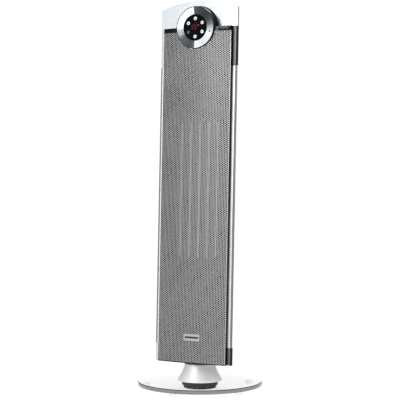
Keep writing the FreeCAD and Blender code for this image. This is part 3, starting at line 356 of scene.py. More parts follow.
def make_glow(name, color, strength):
    """Lit plastic, dim enough to read as a display."""
    mat = material(name, scale_color(color, 0.3), 0.3, Specular_IOR_Level=0.1)
    principled(mat).inputs["Emission Color"].default_value = (*color, 1.0)
    noise = node(mat, "ShaderNodeTexNoise", [("Vector", object_coords(mat))], Scale=900.0)
    uneven = ramp(mat, noise.outputs["Fac"], [(0.2, strength * 0.7), (0.8, strength)])
    link(mat, uneven, "Emission Strength")
    return mat


def make_button_white():
    color = (0.80, 0.83, 0.82)
    mat = material("button_white", color, 0.25, Coat_Weight=0.4, Coat_Roughness=0.1)
    mottle(mat, color, 500.0, 0.05, (0.2, 0.3))
    grain(mat, 2500.0, 0.00002)
    return mat


def make_fascia_glass():
    color = (0.0015, 0.0015, 0.002)
    mat = material("fascia_glass", color, 0.12, Specular_IOR_Level=0.05)
    mottle(mat, color, 80.0, 0.4, (0.08, 0.16))
    grain(mat, 60.0, 0.00001, 1.0)
    return mat


MATS = {
    "clear_glass": make_clear_glass(),
    # Painted reflection on the rim and painted shade on the arrises of the glass disc.
    "glass_rim_painted_reflection": make_glass_edge("glass_rim_painted_reflection", (0.11, 0.12, 0.12), 0.82),
    "glass_arris_painted_shade": make_glass_edge("glass_arris_painted_shade", (0.02, 0.022, 0.022), 0.95),
    "clear_plastic": make_clear_plastic(),
    "black_plastic": make_black_plastic(),
    "dark_shell": make_dark_shell(),
    "gloss_black": make_gloss_black(),
    "silver_paint": make_silver_paint(),
    # Painted shade for the right cheek's front and its outer edge.
    "cheek_painted_shade": make_cheek_painted_shade("cheek_painted_shade", (0.16, 0.17, 0.165), 0.32),
    "cheek_edge_painted_shade": make_cheek_painted_shade("cheek_edge_painted_shade", (0.02, 0.022, 0.02), 0.40),
    "chrome_trim": make_chrome(),
    # Painted reflection: the grey inlay stands for light reflected along the dark mouldings.
    "dark_trim": make_reflection_inlay(),
    "mesh_steel": make_mesh_steel(),
    "satin_metal": make_satin_metal(),
    "spun_silver": make_spun_silver(),
    "circuit_board": make_circuit_board(),
    "button_white": make_button_white(),
    "fascia_glass": make_fascia_glass(),
    "screw_steel": make_plain_metal("screw_steel", (0.50, 0.51, 0.52), 0.30),
    "plated_steel": make_plain_metal("plated_steel", (0.55, 0.56, 0.57), 0.38),
    # Painted shade: aluminium fins made near black to stand for the shade inside the tower.
    "fin_aluminium": make_plain_metal("fin_aluminium", (0.05, 0.05, 0.05), 0.50),
    "badge_metal": make_plain_metal("badge_metal", (0.43, 0.43, 0.43), 0.30, 900.0),
    "bronze": make_plain_metal("bronze", (0.55, 0.38, 0.20), 0.35),
    "rubber_dark": make_plain_plastic("rubber_dark", (0.012, 0.012, 0.012), 0.75),
    "white_plastic": make_plain_plastic("white_plastic", (0.78, 0.78, 0.74)),
    # Painted shade: heater frame made near black to stand for the shade inside the tower.
    "heat_plastic": make_plain_plastic("heat_plastic", (0.03, 0.03, 0.03), 0.6, Specular_IOR_Level=0.2),
    "ceramic": make_plain_plastic("ceramic", (0.20, 0.20, 0.195), 0.5),
    # Painted shade: chassis made near black to stand for the shade inside the tower, seen through the mesh.
    "chassis_black": make_plain_plastic("chassis_black", (0.006, 0.006, 0.007), 0.8,
                                        Specular_IOR_Level=0.1),
    "fan_plastic": make_plain_plastic("fan_plastic", (0.03, 0.03, 0.033)),
    "print_grey": make_plain_plastic("print_grey", (0.10, 0.10, 0.10), 0.5),
    "print_dark": make_plain_plastic("print_dark", (0.02, 0.02, 0.02), 0.5),
    "print_white": make_plain_plastic("print_white", (0.85, 0.85, 0.85), 0.4),
    "button_dark": make_plain_plastic("button_dark", (0.05, 0.05, 0.055), 0.3),
    "display_red": make_glow("display_red", (0.32, 0.004, 0.03), 0.13),
    "display_window": make_glow("display_window", (0.05, 0.002, 0.006), 0.15),
    "lamp_pink": make_glow("lamp_pink", (0.62, 0.22, 0.24), 0.5),
}
NODE_SLOT = {row["node"]: row["material_slot"] for row in frame["record"]["subparts"]}


# ---------------------------------------------------------------- mesh helpers
SHARP_DEG = 35.0


def add_piece(name, verts, faces, body, mat, stands_for=(), leaning=True, smooth_deg=SHARP_DEG):
    """New piece from vertices and faces; a leaning piece's vertices are in tower coordinates."""
    mesh = bpy.data.meshes.new(name)
    turned = [TOWER @ Vector(v) for v in verts] if leaning else verts
    mesh.from_pydata([tuple(v) for v in turned], [], faces)
    return finish_piece(name, mesh, body, mat, stands_for, smooth_deg)


def finish_piece(name, mesh, body, mat, stands_for, smooth_deg):
    """Object for a finished mesh: normals outwards, smooth below an angle, on its body and in its slot."""
    fix_normals(mesh)
    for polygon in mesh.polygons:
        polygon.use_smooth = True
    mesh.set_sharp_from_angle(angle=math.radians(smooth_deg))
    mesh.materials.append(MATS[mat])
    made = bpy.data.objects.new(name, mesh)
    bpy.context.scene.collection.objects.link(made)
    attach(made, body)
    if stands_for:
        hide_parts(*stands_for)
    return made


def fix_normals(mesh):
    """Turns every face outwards."""
    work = bmesh.new()
    work.from_mesh(mesh)
    bmesh.ops.recalc_face_normals(work, faces=work.faces)
    work.to_mesh(mesh)
    work.free()


def add_bevel(piece, width, segments):
    """Rounded edges, kept as a modifier."""
    bevel = piece.modifiers.new("rounded_edges", "BEVEL")
    bevel.width = width
    bevel.segments = segments
    bevel.limit_method = "ANGLE"
    bevel.angle_limit = math.radians(SHARP_DEG)
    bevel.harden_normals = False


def softened(node_name, width, segments):
    """Piece with a CAD node's shape and rounded edges, in that node's place."""
    source = frame["nodes"][node_name]
    mesh = source.data.copy()
    work = bmesh.new()
    work.from_mesh(mesh)
    bmesh.ops.remove_doubles(work, verts=work.verts, dist=1e-6)
    bmesh.ops.dissolve_limit(work, angle_limit=math.radians(0.5), verts=work.verts, edges=work.edges)
    work.to_mesh(mesh)
    work.free()
    mesh.materials.clear()
    body = source["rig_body"]
    slot = NODE_SLOT[node_name]
    made = finish_piece(node_name + "_finished", mesh, body, slot, [node_name], SHARP_DEG)
    add_bevel(made, width, segments)
    return made


def arc_points(centre, radius, start_deg, end_deg, count):
    """Points on an arc in a plane, as pairs."""
    points = []
    for i in range(count + 1):
        a = math.radians(start_deg + (end_deg - start_deg) * i / count)
        points.append((centre[0] + radius * math.cos(a), centre[1] + radius * math.sin(a)))
    return points


def rounded_profile(corners, segments=4):
    """Profile from (radius, height, rounding) corners, each rounded by its own radius."""
    points = []
    count = len(corners)
    for i, (r, h, round_by) in enumerate(corners):
        here = Vector((r, h))
        if not round_by:
            points.append((r, h))
            continue
        before = (Vector(corners[i - 1][:2]) - here).normalized()
        after = (Vector(corners[(i + 1) % count][:2]) - here).normalized()
        half = before.angle(after) / 2
        reach = round_by / math.tan(half)
        start = here + before * reach
        end = here + after * reach
        middle = here + (before + after).normalized() * (round_by / math.sin(half))
        a0 = math.atan2(start.y - middle.y, start.x - middle.x)
        a1 = math.atan2(end.y - middle.y, end.x - middle.x)
        turn = (a1 - a0 + math.pi) % (2 * math.pi) - math.pi
        for k in range(segments + 1):
            a = a0 + turn * k / segments
            points.append((middle.x + round_by * math.cos(a), middle.y + round_by * math.sin(a)))
    return points


def lathe(profile, sides, place):
    """Closed profile turned once, as vertices, faces and each corner's (turn, length).

    place maps a radius, a height and an angle to a point.
    """
    verts = []
    count = len(profile)
    for s in range(sides):
        angle = 2 * math.pi * s / sides
        for r, h in profile:
            verts.append(place(r, h, angle))
    lengths = [0.0]
    for a, b in zip(profile, profile[1:] + profile[:1]):
        lengths.append(lengths[-1] + math.dist(a, b))
    faces = []
    corners = []
    for s in range(sides):
        t = (s + 1) % sides
        for k in range(count):
            m = (k + 1) % count
            faces.append((s * count + k, t * count + k, t * count + m, s * count + m))
            corners.append(((s / sides, lengths[k]), ((s + 1) / sides, lengths[k]),
                            ((s + 1) / sides, lengths[k + 1]), (s / sides, lengths[k + 1])))
    return verts, faces, corners


def turned_piece(name, profile, sides, place, body, mat, stands_for=(), leaning=True,
                 smooth_deg=SHARP_DEG):
    """Lathe piece with its turn and length kept in the UV map called turn."""
    verts, faces, corners = lathe(profile, sides, place)
    mesh = bpy.data.meshes.new(name)
    mesh.from_pydata([tuple(TOWER @ Vector(v)) if leaning else v for v in verts], [], faces)
    layer = mesh.uv_layers.new(name="turn")
    flat = [value for face in corners for pair in face for value in pair]
    layer.data.foreach_set("uv", flat)
    return finish_piece(name, mesh, body, mat, stands_for, smooth_deg)


def upright(r, h, angle):
    """Place for a lathe about the base's vertical axis."""
    return (r * math.cos(angle), r * math.sin(angle), h)


def about_drum(r, h, angle):
    """Place for a lathe about the control drum's axis; h is the depth in tower coordinates."""
    return (DRUM_X + r * math.cos(angle), h, DRUM_Z + r * math.sin(angle))


def prism(outline, low, high, place):
    """Closed slab from a flat outline between two depths; place maps u, v, depth."""
    count = len(outline)
    verts = [place(u, v, low) for u, v in outline] + [place(u, v, high) for u, v in outline]
    faces = [tuple(range(count)), tuple(range(2 * count - 1, count - 1, -1))]
    for i in range(count):
        j = (i + 1) % count
        faces.append((i, j, count + j, count + i))
    return verts, faces


def facing(u, v, depth):
    """Place for outlines drawn on the tower's front: u to the right, v up."""
    return (u, depth, v)


def planned(u, v, depth):
    """Place for outlines drawn in the tower's plan: u to the right, v back, depth up."""
    return (u, v, depth)


def thickened(points, faces, front, behind):
    """Closed sheet from flat points and faces: two skins, and a wall along every open edge."""
    count = len(points)
    verts = [front(*p) for p in points] + [behind(*p) for p in points]
    made = list(faces) + [tuple(count + i for i in reversed(face)) for face in faces]
    edges = {}
    for face in faces:
        for a, b in zip(face, face[1:] + face[:1]):
            key = (min(a, b), max(a, b))
            edges[key] = None if key in edges else (a, b)
    for edge in edges.values():
        if edge:
            a, b = edge
            made.append((b, a, count + a, count + b))
    return verts, made


# ---------------------------------------------------------------- places read from the frame
MESH_LOW, MESH_HIGH = tower_box("mesh_grille")
DRUM_LOW, DRUM_HIGH = tower_box("drum_housing")
DRUM_X = (DRUM_LOW.x + DRUM_HIGH.x) / 2
DRUM_Z = (DRUM_LOW.z + DRUM_HIGH.z) / 2
DRUM_R = (DRUM_HIGH.x - DRUM_LOW.x) / 2
DRUM_FACE = DRUM_LOW.y

# ---------------------------------------------------------------- perforated front
# Six-sided holes: HOLE_FLAT across flats, HOLE_CORNER from the middle to a corner.
HOLE_FLAT = 3.3 * MM
HOLE_CORNER = HOLE_FLAT / math.sqrt(3)
SHEET_THICK = 0.5 * MM
SHEET_BORDER = 0.5 * MM
COLUMNS = 46
ROWS = 159
NOTCH_GAP = 0.4 * MM
SMALLEST_FACE = 1e-9

# The bowed front's crown depth and radius, from the mesh sheet's box and its CAD thickness.
CAD_SHEET_THICK = 1.0 * MM
BOW_RISE = MESH_HIGH.y - MESH_LOW.y - CAD_SHEET_THICK
BOW_CROWN = MESH_LOW.y
BOW_R = (MESH_HIGH.x ** 2 + BOW_RISE ** 2) / (2 * BOW_RISE)
BOW_REACH = BOW_R * math.asin(MESH_HIGH.x / BOW_R)
COLUMN_STEP = 2 * (BOW_REACH - SHEET_BORDER - HOLE_CORNER) / (COLUMNS - 1)
ROW_FOOT = MESH_LOW.z + SHEET_BORDER + HOLE_FLAT / 2
ROW_STEP = (MESH_HIGH.z - SHEET_BORDER - HOLE_FLAT / 2 - ROW_FOOT) / (ROWS - 0.5)


def on_bow(u, v, depth=0.0):
    """Point of the bowed front: u along the bow, v up, depth behind the surface."""
    a = u / BOW_R
    r = BOW_R - depth
    return (r * math.sin(a), BOW_CROWN + BOW_R - r * math.cos(a), v)


def hole_lattice():
    """Cells of the staggered pattern as {(column, row): (u, v)}, with one more cell on every side."""
    cells = {}
    for i in range(-1, COLUMNS + 1):
        for j in range(-1, ROWS + 1):
            u = (i - (COLUMNS - 1) / 2) * COLUMN_STEP
            v = ROW_FOOT + (j + (i % 2) / 2) * ROW_STEP
            cells[i, j] = (u, v)
    return cells


def is_open(i, j, u, v):
    """True where a cell has its hole. At the notch, top and bottom the edge cuts through holes."""
    top = ROWS if i % 2 else ROWS + 1
    bottom = -1 if i % 2 else 0
    inside = 0 <= i < COLUMNS and bottom <= j < top
    return inside and math.hypot(u - DRUM_X, v - DRUM_Z) > DRUM_R + SHEET_BORDER


def make_mesh_grille():
    """Perforated sheet: six-sided holes, two skins and every hole's wall."""
    cells = hole_lattice()
    points = []
    first = {}
    for key, (u, v) in cells.items():
        first[key] = len(points)
        for k in range(6):
            a = math.radians(60 * k)
            points.append((u + HOLE_CORNER * math.cos(a), v + HOLE_CORNER * math.sin(a)))
    faces = []
    for (i, j), (u, v) in cells.items():
        here = first[i, j]
        if not is_open(i, j, u, v):
            faces.append(tuple(here + k for k in range(6)))
        right_up = (i + 1, j + (i % 2))
        right_down = (i + 1, j + (i % 2) - 1)
        above = (i, j + 1)
        up, down, top = first.get(right_up), first.get(right_down), first.get(above)
        if up is not None:
            faces.append((here + 1, here, up + 4, up + 3))
        if down is not None:
            faces.append((here, here + 5, down + 3, down + 2))
        if top is not None:
            faces.append((here + 2, here + 1, top + 5, top + 4))
        if up is not None and down is not None:
            faces.append((here, down + 2, up + 4))
        if up is not None and top is not None:
            faces.append((here + 1, up + 3, top + 5))
    points = [settle(u, v) for u, v in points]
    faces = [face for face in faces if flat_area(points, face) > SMALLEST_FACE]
    verts, faces = thickened(points, faces, on_bow, lambda u, v: on_bow(u, v, SHEET_THICK))
    add_piece("mesh_sheet", verts, faces, "tower", "mesh_steel", ["mesh_grille"], smooth_deg=50)


def settle(u, v):
    """Pulls a pattern point onto the sheet: inside its edges and outside the drum's notch."""
    u = max(-BOW_REACH, min(BOW_REACH, u))
    v = max(MESH_LOW.z, min(MESH_HIGH.z, v))
    notch = DRUM_R + NOTCH_GAP
    away = math.hypot(u - DRUM_X, v - DRUM_Z)
    if away < notch:
        u = DRUM_X + (u - DRUM_X) * notch / max(away, MM)
        v = DRUM_Z + (v - DRUM_Z) * notch / max(away, MM)
    return u, v


def flat_area(points, face):
    """Area of a flat face of the pattern."""
    total = 0.0
    for a, b in zip(face, face[1:] + face[:1]):
        total += points[a][0] * points[b][1] - points[b][0] * points[a][1]
    return abs(total) / 2


# ---------------------------------------------------------------- base
HUB_R = 36.0 * MM
NECK_TOP_R = 31.0 * MM
NECK_BORE_R = 22.9 * MM
NECK_COLLAR_R = 14.3 * MM
NECK_COLLAR_DEEP = 4.0 * MM
NECK_FLARE = 1.5


def make_glass_disc():
    """Glass disc with clear faces, a rim with a painted grey reflection and arrises with painted dark shade
    above and below it.
    """
    low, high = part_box("glass_disc")
    arris = 1.5 * MM
    hole = HUB_R + 0.2 * MM
    r = high.x
    profile = [(hole, low.z), (r - arris / 2, low.z), (r, low.z + arris / 2), (r, high.z - arris),
               (r - arris, high.z), (hole, high.z)]
    disc = turned_piece("glass_disc_finished", profile, 200, upright, "base", "clear_glass", ["glass_disc"],
                        leaning=False)
    disc.data.materials.append(MATS["glass_arris_painted_shade"])
    disc.data.materials.append(MATS["glass_rim_painted_reflection"])
    arris_slot = 1
    rim_slot = 2
    edge_slots = {1: arris_slot, 2: rim_slot, 3: arris_slot}
    for i, polygon in enumerate(disc.data.polygons):
        polygon.material_index = edge_slots.get(i % len(profile), 0)


def make_hub():
    """Moulded hub under the neck, with a tapered skirt below the glass."""
    low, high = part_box("base_hub")
    disc_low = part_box("glass_disc")[0].z
    skirt_low_r = HUB_R - 3.8 * MM
    skirt_high_r = HUB_R - 2.4 * MM
    profile = rounded_profile([(0.0, low.z, 0), (skirt_low_r, low.z, 0.6 * MM),
                               (skirt_high_r, disc_low, 0), (HUB_R, disc_low, 0.3 * MM),
                               (HUB_R, high.z, 0.3 * MM), (0.0, high.z, 0)])
    turned_piece("base_hub_finished", profile, 96, upright, "base", "black_plastic", ["base_hub"],
                 leaning=False)


def make_neck():
    """Flared neck: its radius falls from foot to top by a power of the height left."""
    low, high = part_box("neck")
    foot_r = high.x
    bead = 0.8 * MM
    flare_low = low.z + 1.5 * MM
    flare_high = high.z - 1.0 * MM
    flare_out = foot_r - 0.25 * MM - NECK_TOP_R
    profile = [(NECK_BORE_R, low.z)]
    profile += arc_points((foot_r - bead, low.z + bead), bead, -90, 30, 6)
    steps = 26
    for i in range(steps + 1):
        t = i / steps
        r = NECK_TOP_R + flare_out * (1 - t) ** NECK_FLARE
        profile.append((r, flare_low + (flare_high - flare_low) * t))
    collar_low = high.z - NECK_COLLAR_DEEP
    profile += [(NECK_TOP_R - 0.3 * MM, high.z - 0.3 * MM), (NECK_TOP_R - 1 * MM, high.z),
                (NECK_COLLAR_R, high.z), (NECK_COLLAR_R, collar_low), (NECK_BORE_R, collar_low)]
    turned_piece("neck_finished", profile, 128, upright, "base", "satin_metal", ["neck"], leaning=False)


def make_feet():
    """Clear domed feet, in the places of the CAD feet."""
    low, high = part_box("base_feet")
    count = 5
    foot_r = 8.0 * MM
    ring_r = -low.y - foot_r
    profile = rounded_profile([(0.0, low.z, 0), (foot_r, low.z, 2.2 * MM),
                               (foot_r - 0.6 * MM, high.z, 0.3 * MM), (0.0, high.z, 0)])
    for i in range(count):
        angle = math.radians(-90 + 360 * i / count)
        x = ring_r * math.cos(angle)
        y = ring_r * math.sin(angle)
        stands = ["base_feet"] if i == 0 else []
        turned_piece("foot_%d" % (i + 1), profile, 40,
                     lambda r, h, a: (x + r * math.cos(a), y + r * math.sin(a), h),
                     "base", "clear_plastic", stands, leaning=False)


# ---------------------------------------------------------------- covers, strips and trims
CHEEK_EDGE = 3.0 * MM
# CAD covers whose edges are eased: node, rounding in millimetres and steps.
COVERS = [("arch_cover", 0.6, 3), ("lower_cheeks", 0.4, 2), ("top_cap", 0.8, 3), ("top_strips", 0.3, 2),
          ("bottom_strip", 0.3, 2), ("rear_shell", 0.35, 1), ("power_switch_frame", 0.4, 2),
          ("power_rocker", 0.4, 2), ("cord_gland", 0.4, 2), ("fascia", 0.2, 2), ("bottom_cap", 0.4, 1)]


def shade_right_cheek(piece):
    """Paints shade on a cover's right cheek, from the top strips down: a darker front and a near-black outer
    edge, as a painted reflection of the black module beside it.
    """
    inner = MESH_HIGH.x
    edge = tower_box("arch_cover")[1].x - CHEEK_EDGE
    top = tower_box("top_strips")[1].z
    front_slot = 1
    edge_slot = 2
    mesh = piece.data
    work = bmesh.new()
    work.from_mesh(mesh)
    for place, normal in ((UP * top, UP), (RIGHT * inner, RIGHT), (RIGHT * edge, RIGHT)):
        everything = work.verts[:] + work.edges[:] + work.faces[:]
        bmesh.ops.bisect_plane(work, geom=everything, plane_co=place, plane_no=normal)
    for face in work.faces:
        centre = TO_TOWER @ face.calc_center_median()
        if centre.x > inner and centre.z < top:
            face.material_index = edge_slot if centre.x > edge else front_slot
    work.to_mesh(mesh)
    work.free()
    mesh.materials.append(MATS["cheek_painted_shade"])
    mesh.materials.append(MATS["cheek_edge_painted_shade"])


def make_covers():
    """CAD shells, strips and switches with their edges eased."""
    for node_name, width, steps in COVERS:
        made = softened(node_name, width * MM, steps)
        # The right cheeks of these covers get painted shade.
        if node_name in ("arch_cover", "lower_cheeks"):
            shade_right_cheek(made)


def make_edge_inlays():
    """Grey inlay let into the front of each edge moulding, between the cheeks, as a painted reflection of
    the room there.
    """
    trim_low, trim_high = tower_box("side_trim_right")
    edge_x = tower_box("edge_mouldings")[1].x
    inner = trim_high.x + 0.25 * MM
    outer = edge_x - 0.3 * MM
    front = trim_low.y + 0.1 * MM
    back = front + 1.2 * MM
    section = rounded_profile([(inner, back, 0), (inner, front, 0.3 * MM),
                               (outer - 0.5 * MM, front, 0.6 * MM),
                               (outer, back - 0.4 * MM, 0.2 * MM), (outer, back, 0)], 3)
    for name, side in (("edge_inlay_right", 1), ("edge_inlay_left", -1)):
        outline = [(side * x, y) for x, y in section]
        verts, faces = prism(outline, trim_low.z, trim_high.z, planned)
        add_piece(name, verts, faces, "tower", "dark_trim")


def bow_y(x):
    """Depth of the bowed front at a place across it."""
    return BOW_CROWN + BOW_R - math.sqrt(BOW_R ** 2 - x ** 2)


def bowed_plate(x0, x1, z0, z1, front, back, steps=24):
    """Plate that follows the bow, with its faces set out from the sheet by front and back."""
    outline = []
    for i in range(steps + 1):
        x = x0 + (x1 - x0) * i / steps
        outline.append((x, bow_y(x) - front))
    for i in range(steps, -1, -1):
        x = x0 + (x1 - x0) * i / steps
        outline.append((x, bow_y(x) - back))
    return prism(outline, z0, z1, planned)


def make_nameplate():
    """Blank badge: a satin plate with a raised border and a plain darker field, and no lettering."""
    low, high = tower_box("nameplate")
    border = 1.5 * MM
    thick = 1.15 * MM
    verts, faces = bowed_plate(low.x, high.x, low.z, high.z, thick, 0.0)
    plate = add_piece("nameplate_plate", verts, faces, "tower", "badge_metal", ["nameplate"])
    add_bevel(plate, 0.3 * MM, 2)
    middle = (low.z + high.z) / 2
    half = 1.9 * MM
    verts, faces = bowed_plate(low.x + 2 * border, high.x - 2 * border, middle - half, middle + half,
                               thick + 0.05 * MM, thick - 0.2 * MM)
    add_piece("nameplate_field", verts, faces, "tower", "print_dark")


# ---------------------------------------------------------------- control drum
RING_LOW, RING_HIGH = tower_box("drum_ring")
RING_R = RING_HIGH.x - DRUM_X
FASCIA_LOW, FASCIA_HIGH = tower_box("fascia")
FASCIA_R = FASCIA_HIGH.x - DRUM_X
FASCIA_FACE = FASCIA_LOW.y


def ring_face(r):
    """Depth of the dished ring's face at a radius."""
    share = (r - FASCIA_R) / (RING_R - FASCIA_R)
    inner_depth = FASCIA_FACE - 0.2 * MM
    return inner_depth + (RING_LOW.y - inner_depth) * share


def make_drum():
    """Black cup of the drum with a rounded lip, and the spun ring in it."""
    back = DRUM_HIGH.y
    wall = 1.5 * MM
    floor = back - 2 * MM
    cup = rounded_profile([(0.0, back, 0), (DRUM_R, back, 0), (DRUM_R, DRUM_FACE, 0.7 * MM),
                           (DRUM_R - wall, DRUM_FACE, 0.5 * MM), (DRUM_R - wall, floor, 0),
                           (0.0, floor, 0)], 5)
    turned_piece("drum_cup", cup, 160, about_drum, "tower", "gloss_black", ["drum_housing"])
    inner = FASCIA_R + 0.12 * MM
    outer = DRUM_R - wall
    steps = 10
    radii = [inner + (outer - inner) * i / steps for i in range(steps + 1)]
    ring = [(r, ring_face(r)) for r in radii]
    ring += [(outer, RING_LOW.y + 2 * MM), (inner, RING_HIGH.y - 1.6 * MM)]
    turned_piece("drum_ring_spun", ring, 256, about_drum, "tower", "spun_silver", ["drum_ring"],
                 smooth_deg=50)


def dot(name, u, v, front, radius, height, body, mat):
    """Small domed dot on the drum's front."""
    profile = [(0.0, front + height), (radius, front + height), (radius, front + 0.35 * height),
               (0.8 * radius, front + 0.1 * height), (0.0, front)]
    turned_piece(name, profile, 24, lambda r, h, a: (u + r * math.cos(a), h, v + r * math.sin(a)),
                 body, mat)


def make_ring_marks():
    """Four marks on the ring: two black pips, a white one and a faint one."""
    marks = [(73, "print_dark", 1.7), (-15, "print_dark", 1.7), (200, "print_white", 1.4),
             (107, "print_grey", 0.8)]
    r = (RING_R + FASCIA_R) / 2 + 0.5 * MM
    for i, (degrees, mat, size) in enumerate(marks):
        angle = math.radians(degrees)
        dot("ring_mark_%d" % (i + 1), DRUM_X + r * math.cos(angle), DRUM_Z + r * math.sin(angle),
            ring_face(r) - 0.25 * MM, size * MM, 0.6 * MM, "tower", mat)


BUTTON_COLLAR = 0.8 * MM


def slab(name, outline, centre, front, depth, body, mat, turn_deg=0.0):
    """Thin printed or raised mark on the front: outline in millimetres about its centre."""
    a = math.radians(turn_deg)
    points = []
    for u, v in outline:
        points.append((centre[0] + (u * math.cos(a) - v * math.sin(a)) * MM,
                       centre[1] + (u * math.sin(a) + v * math.cos(a)) * MM))
    verts, faces = prism(points, front, front + depth, facing)
    add_piece(name, verts, faces, body, mat)


def bar(half_w, half_h):
    """Bar outline in millimetres."""
    return [(-half_w, -half_h), (half_w, -half_h), (half_w, half_h), (-half_w, half_h)]


def drop():
    """Drop outline in millimetres: a round bowl with a point on top."""
    bowl = arc_points((0, -0.4), 1.15, 150, 390, 16)
    return bowl + [(0.35, 1.1), (0.0, 1.9), (-0.35, 1.1)]


def button_ring(name, centre, front, outer, inner, body, mat):
    """Flat ring about a button's middle."""
    back = front + 0.2 * MM
    profile = [(outer, front), (outer, back), (inner, back), (inner, front)]
    turned_piece(name, profile, 32,
                 lambda r, h, a: (centre[0] + r * math.cos(a), h, centre[1] + r * math.sin(a)),
                 body, mat)


def make_buttons():
    """Domed caps with small symbols. One cap is dark with a grey ring."""
    symbols = {"power": [(drop(), 0)], "heat": [(bar(1.6, 0.42), 25), (bar(1.6, 0.42), -25)],
               "timer": [(bar(0.4, 1.3), 0), (bar(1.3, 0.4), 0)], "swing": [(bar(1.7, 0.45), 0)],
               "minus": [(bar(1.3, 0.4), 0)], "plus": [(bar(1.5, 0.45), 0), (bar(0.45, 1.5), 0)]}
    for name, marks in symbols.items():
        body = "button_" + name
        low, high = tower_box(body)
        centre = ((low.x + high.x) / 2, (low.z + high.z) / 2)
        r = (high.x - low.x) / 2 - BUTTON_COLLAR
        front = low.y
        dark = name == "minus"
        profile = [(0.0, high.y), (r, high.y), (r, front + 0.55 * MM), (r - 0.12 * MM, front + 0.28 * MM),
                   (r - 0.4 * MM, front + 0.12 * MM), (r * 0.6, front + 0.03 * MM), (0.0, front)]
        turned_piece(body + "_cap", profile, 48,
                     lambda p, h, a: (centre[0] + p * math.cos(a), h, centre[1] + p * math.sin(a)),
                     body, "button_dark" if dark else "button_white", [body])
        for i, (outline, turn) in enumerate(marks):
            slab("%s_symbol_%d" % (body, i + 1), outline, centre, front - 0.04 * MM, 0.25 * MM, body,
                 "print_dark", turn)
        if dark:
            button_ring(body + "_ring", centre, front + 0.07 * MM, 2.6 * MM, 2.0 * MM, body, "print_white")


# Lit segments of each figure: top, upper right, lower right, bottom, lower left, upper left and middle.
FIGURES = {"2": (1, 1, 0, 1, 1, 0, 1), "5": (1, 0, 1, 1, 0, 1, 1)}


def segment_places(width, height):
    """Centre and turn of each segment of one figure."""
    w = width / 2
    h = height / 2
    return [(0, h, 0), (w, h / 2, 90), (w, -h / 2, 90), (0, -h, 0),
            (-w, -h / 2, 90), (-w, h / 2, 90), (0, 0, 0)]


def make_display():
    """Two red figures and a small lamp bar behind the black fascia."""
    front = FASCIA_FACE - 0.06 * MM
    middle = (DRUM_X - 2.6 * MM, DRUM_Z + 1.0 * MM)
    deep = 0.3 * MM
    slab("display_window", bar(6.6, 5.6), middle, front + 0.03 * MM, deep, "tower", "display_window")
    width = 3.6
    height = 8.4
    half = 0.55
    for side, place, figure in (("left", -3.1, "2"), ("right", 3.1, "5")):
        for i, (u, v, turn) in enumerate(segment_places(width, height)):
            if not FIGURES[figure][i]:
                continue
            reach = (width if turn == 0 else height / 2) / 2 - 0.25
            outline = [(-reach, 0), (-reach + half, -half), (reach - half, -half), (reach, 0),
                       (reach - half, half), (-reach + half, half)]
            centre = (middle[0] + (place + u) * MM, middle[1] + v * MM)
            slab("figure_%s_segment_%d" % (side, i + 1), outline, centre, front, deep, "tower",
                 "display_red", turn)
    lamp = (DRUM_X + 6.9 * MM, DRUM_Z + 4.1 * MM)
    slab("display_lamp", bar(0.7, 1.5), lamp, front, deep, "tower", "lamp_pink")


# ---------------------------------------------------------------- camera, light and floor
CAMERA_AZIMUTH = 28.63
CAMERA_DISTANCE = 2.638
CAMERA_HEIGHT = 0.447
CAMERA_PITCH = 1.517
CAMERA_LENS = 118.8
# Brightness of the backdrop as the camera sees it, of the floor itself and of the room overhead.
BACKDROP = 1.05
FLOOR_GLOW = 0.86
CEILING = 1.0
OVERHEAD = (0.45, 0.85)
# Brightness of the room by direction: degrees from the front towards the right.
ROOM = [(-180, 0.7), (-168, 0.95), (-138, 0.95), (-118, 0.30), (-85, 0.35), (-65, 0.7), (-50, 0.7),
        (-46, 0.2), (-40, 0.2), (-36, 1.15), (-22, 1.15), (-17, 3.0), (-9, 3.0), (-4, 0.9), (6, 0.12),
        (60, 0.12), (75, 1.2), (112, 1.2), (128, 0.3), (150, 0.2), (172, 0.5), (180, 0.7)]


def make_camera():
    """Camera that looks down a little at the tower from its right."""
    data = bpy.data.cameras.new("camera")
    data.lens = CAMERA_LENS
    data.sensor_width = 36.0
    data.clip_end = 100.0
    cam = bpy.data.objects.new("camera", data)
    azimuth = math.radians(CAMERA_AZIMUTH)
    across = CAMERA_DISTANCE * math.sin(azimuth)
    away = CAMERA_DISTANCE * math.cos(azimuth)
    cam.location = (across, -away, CAMERA_HEIGHT)
    cam.rotation_euler = (math.radians(90 - CAMERA_PITCH), 0, azimuth)
    bpy.context.scene.collection.objects.link(cam)
    bpy.context.scene.camera = cam


def make_floor():
    """Pale floor that glows enough to meet the backdrop with no horizon."""
    mesh = bpy.data.meshes.new("floor")
    half = 40.0
    corners = [(-half, -half, 0), (half, -half, 0), (half, half, 0), (-half, half, 0)]
    mesh.from_pydata(corners, [], [(0, 1, 2, 3)])
    floor = bpy.data.objects.new("floor", mesh)
    bpy.context.scene.collection.objects.link(floor)
    color = (0.20, 0.20, 0.20)
    mat = material("floor_white", color, 0.6, Specular_IOR_Level=0.0)
    mottle(mat, color, 3.0, 0.01)
    principled(mat).inputs["Emission Color"].default_value = (1.0, 1.0, 1.0, 1.0)
    principled(mat).inputs["Emission Strength"].default_value = FLOOR_GLOW
    mesh.materials.append(mat)


def add_area_light(name, place, target, size, power, height=None):
    """Softbox aimed at a target; it is square unless a height is given."""
    data = bpy.data.lights.new(name, "AREA")
    data.shape = "RECTANGLE"
    data.size = size
    data.size_y = height or size
    data.energy = power
    lamp = bpy.data.objects.new(name, data)
    lamp.location = place
    lamp.rotation_euler = (Vector(target) - Vector(place)).to_track_quat("-Z", "Y").to_euler()
    bpy.context.scene.collection.objects.link(lamp)


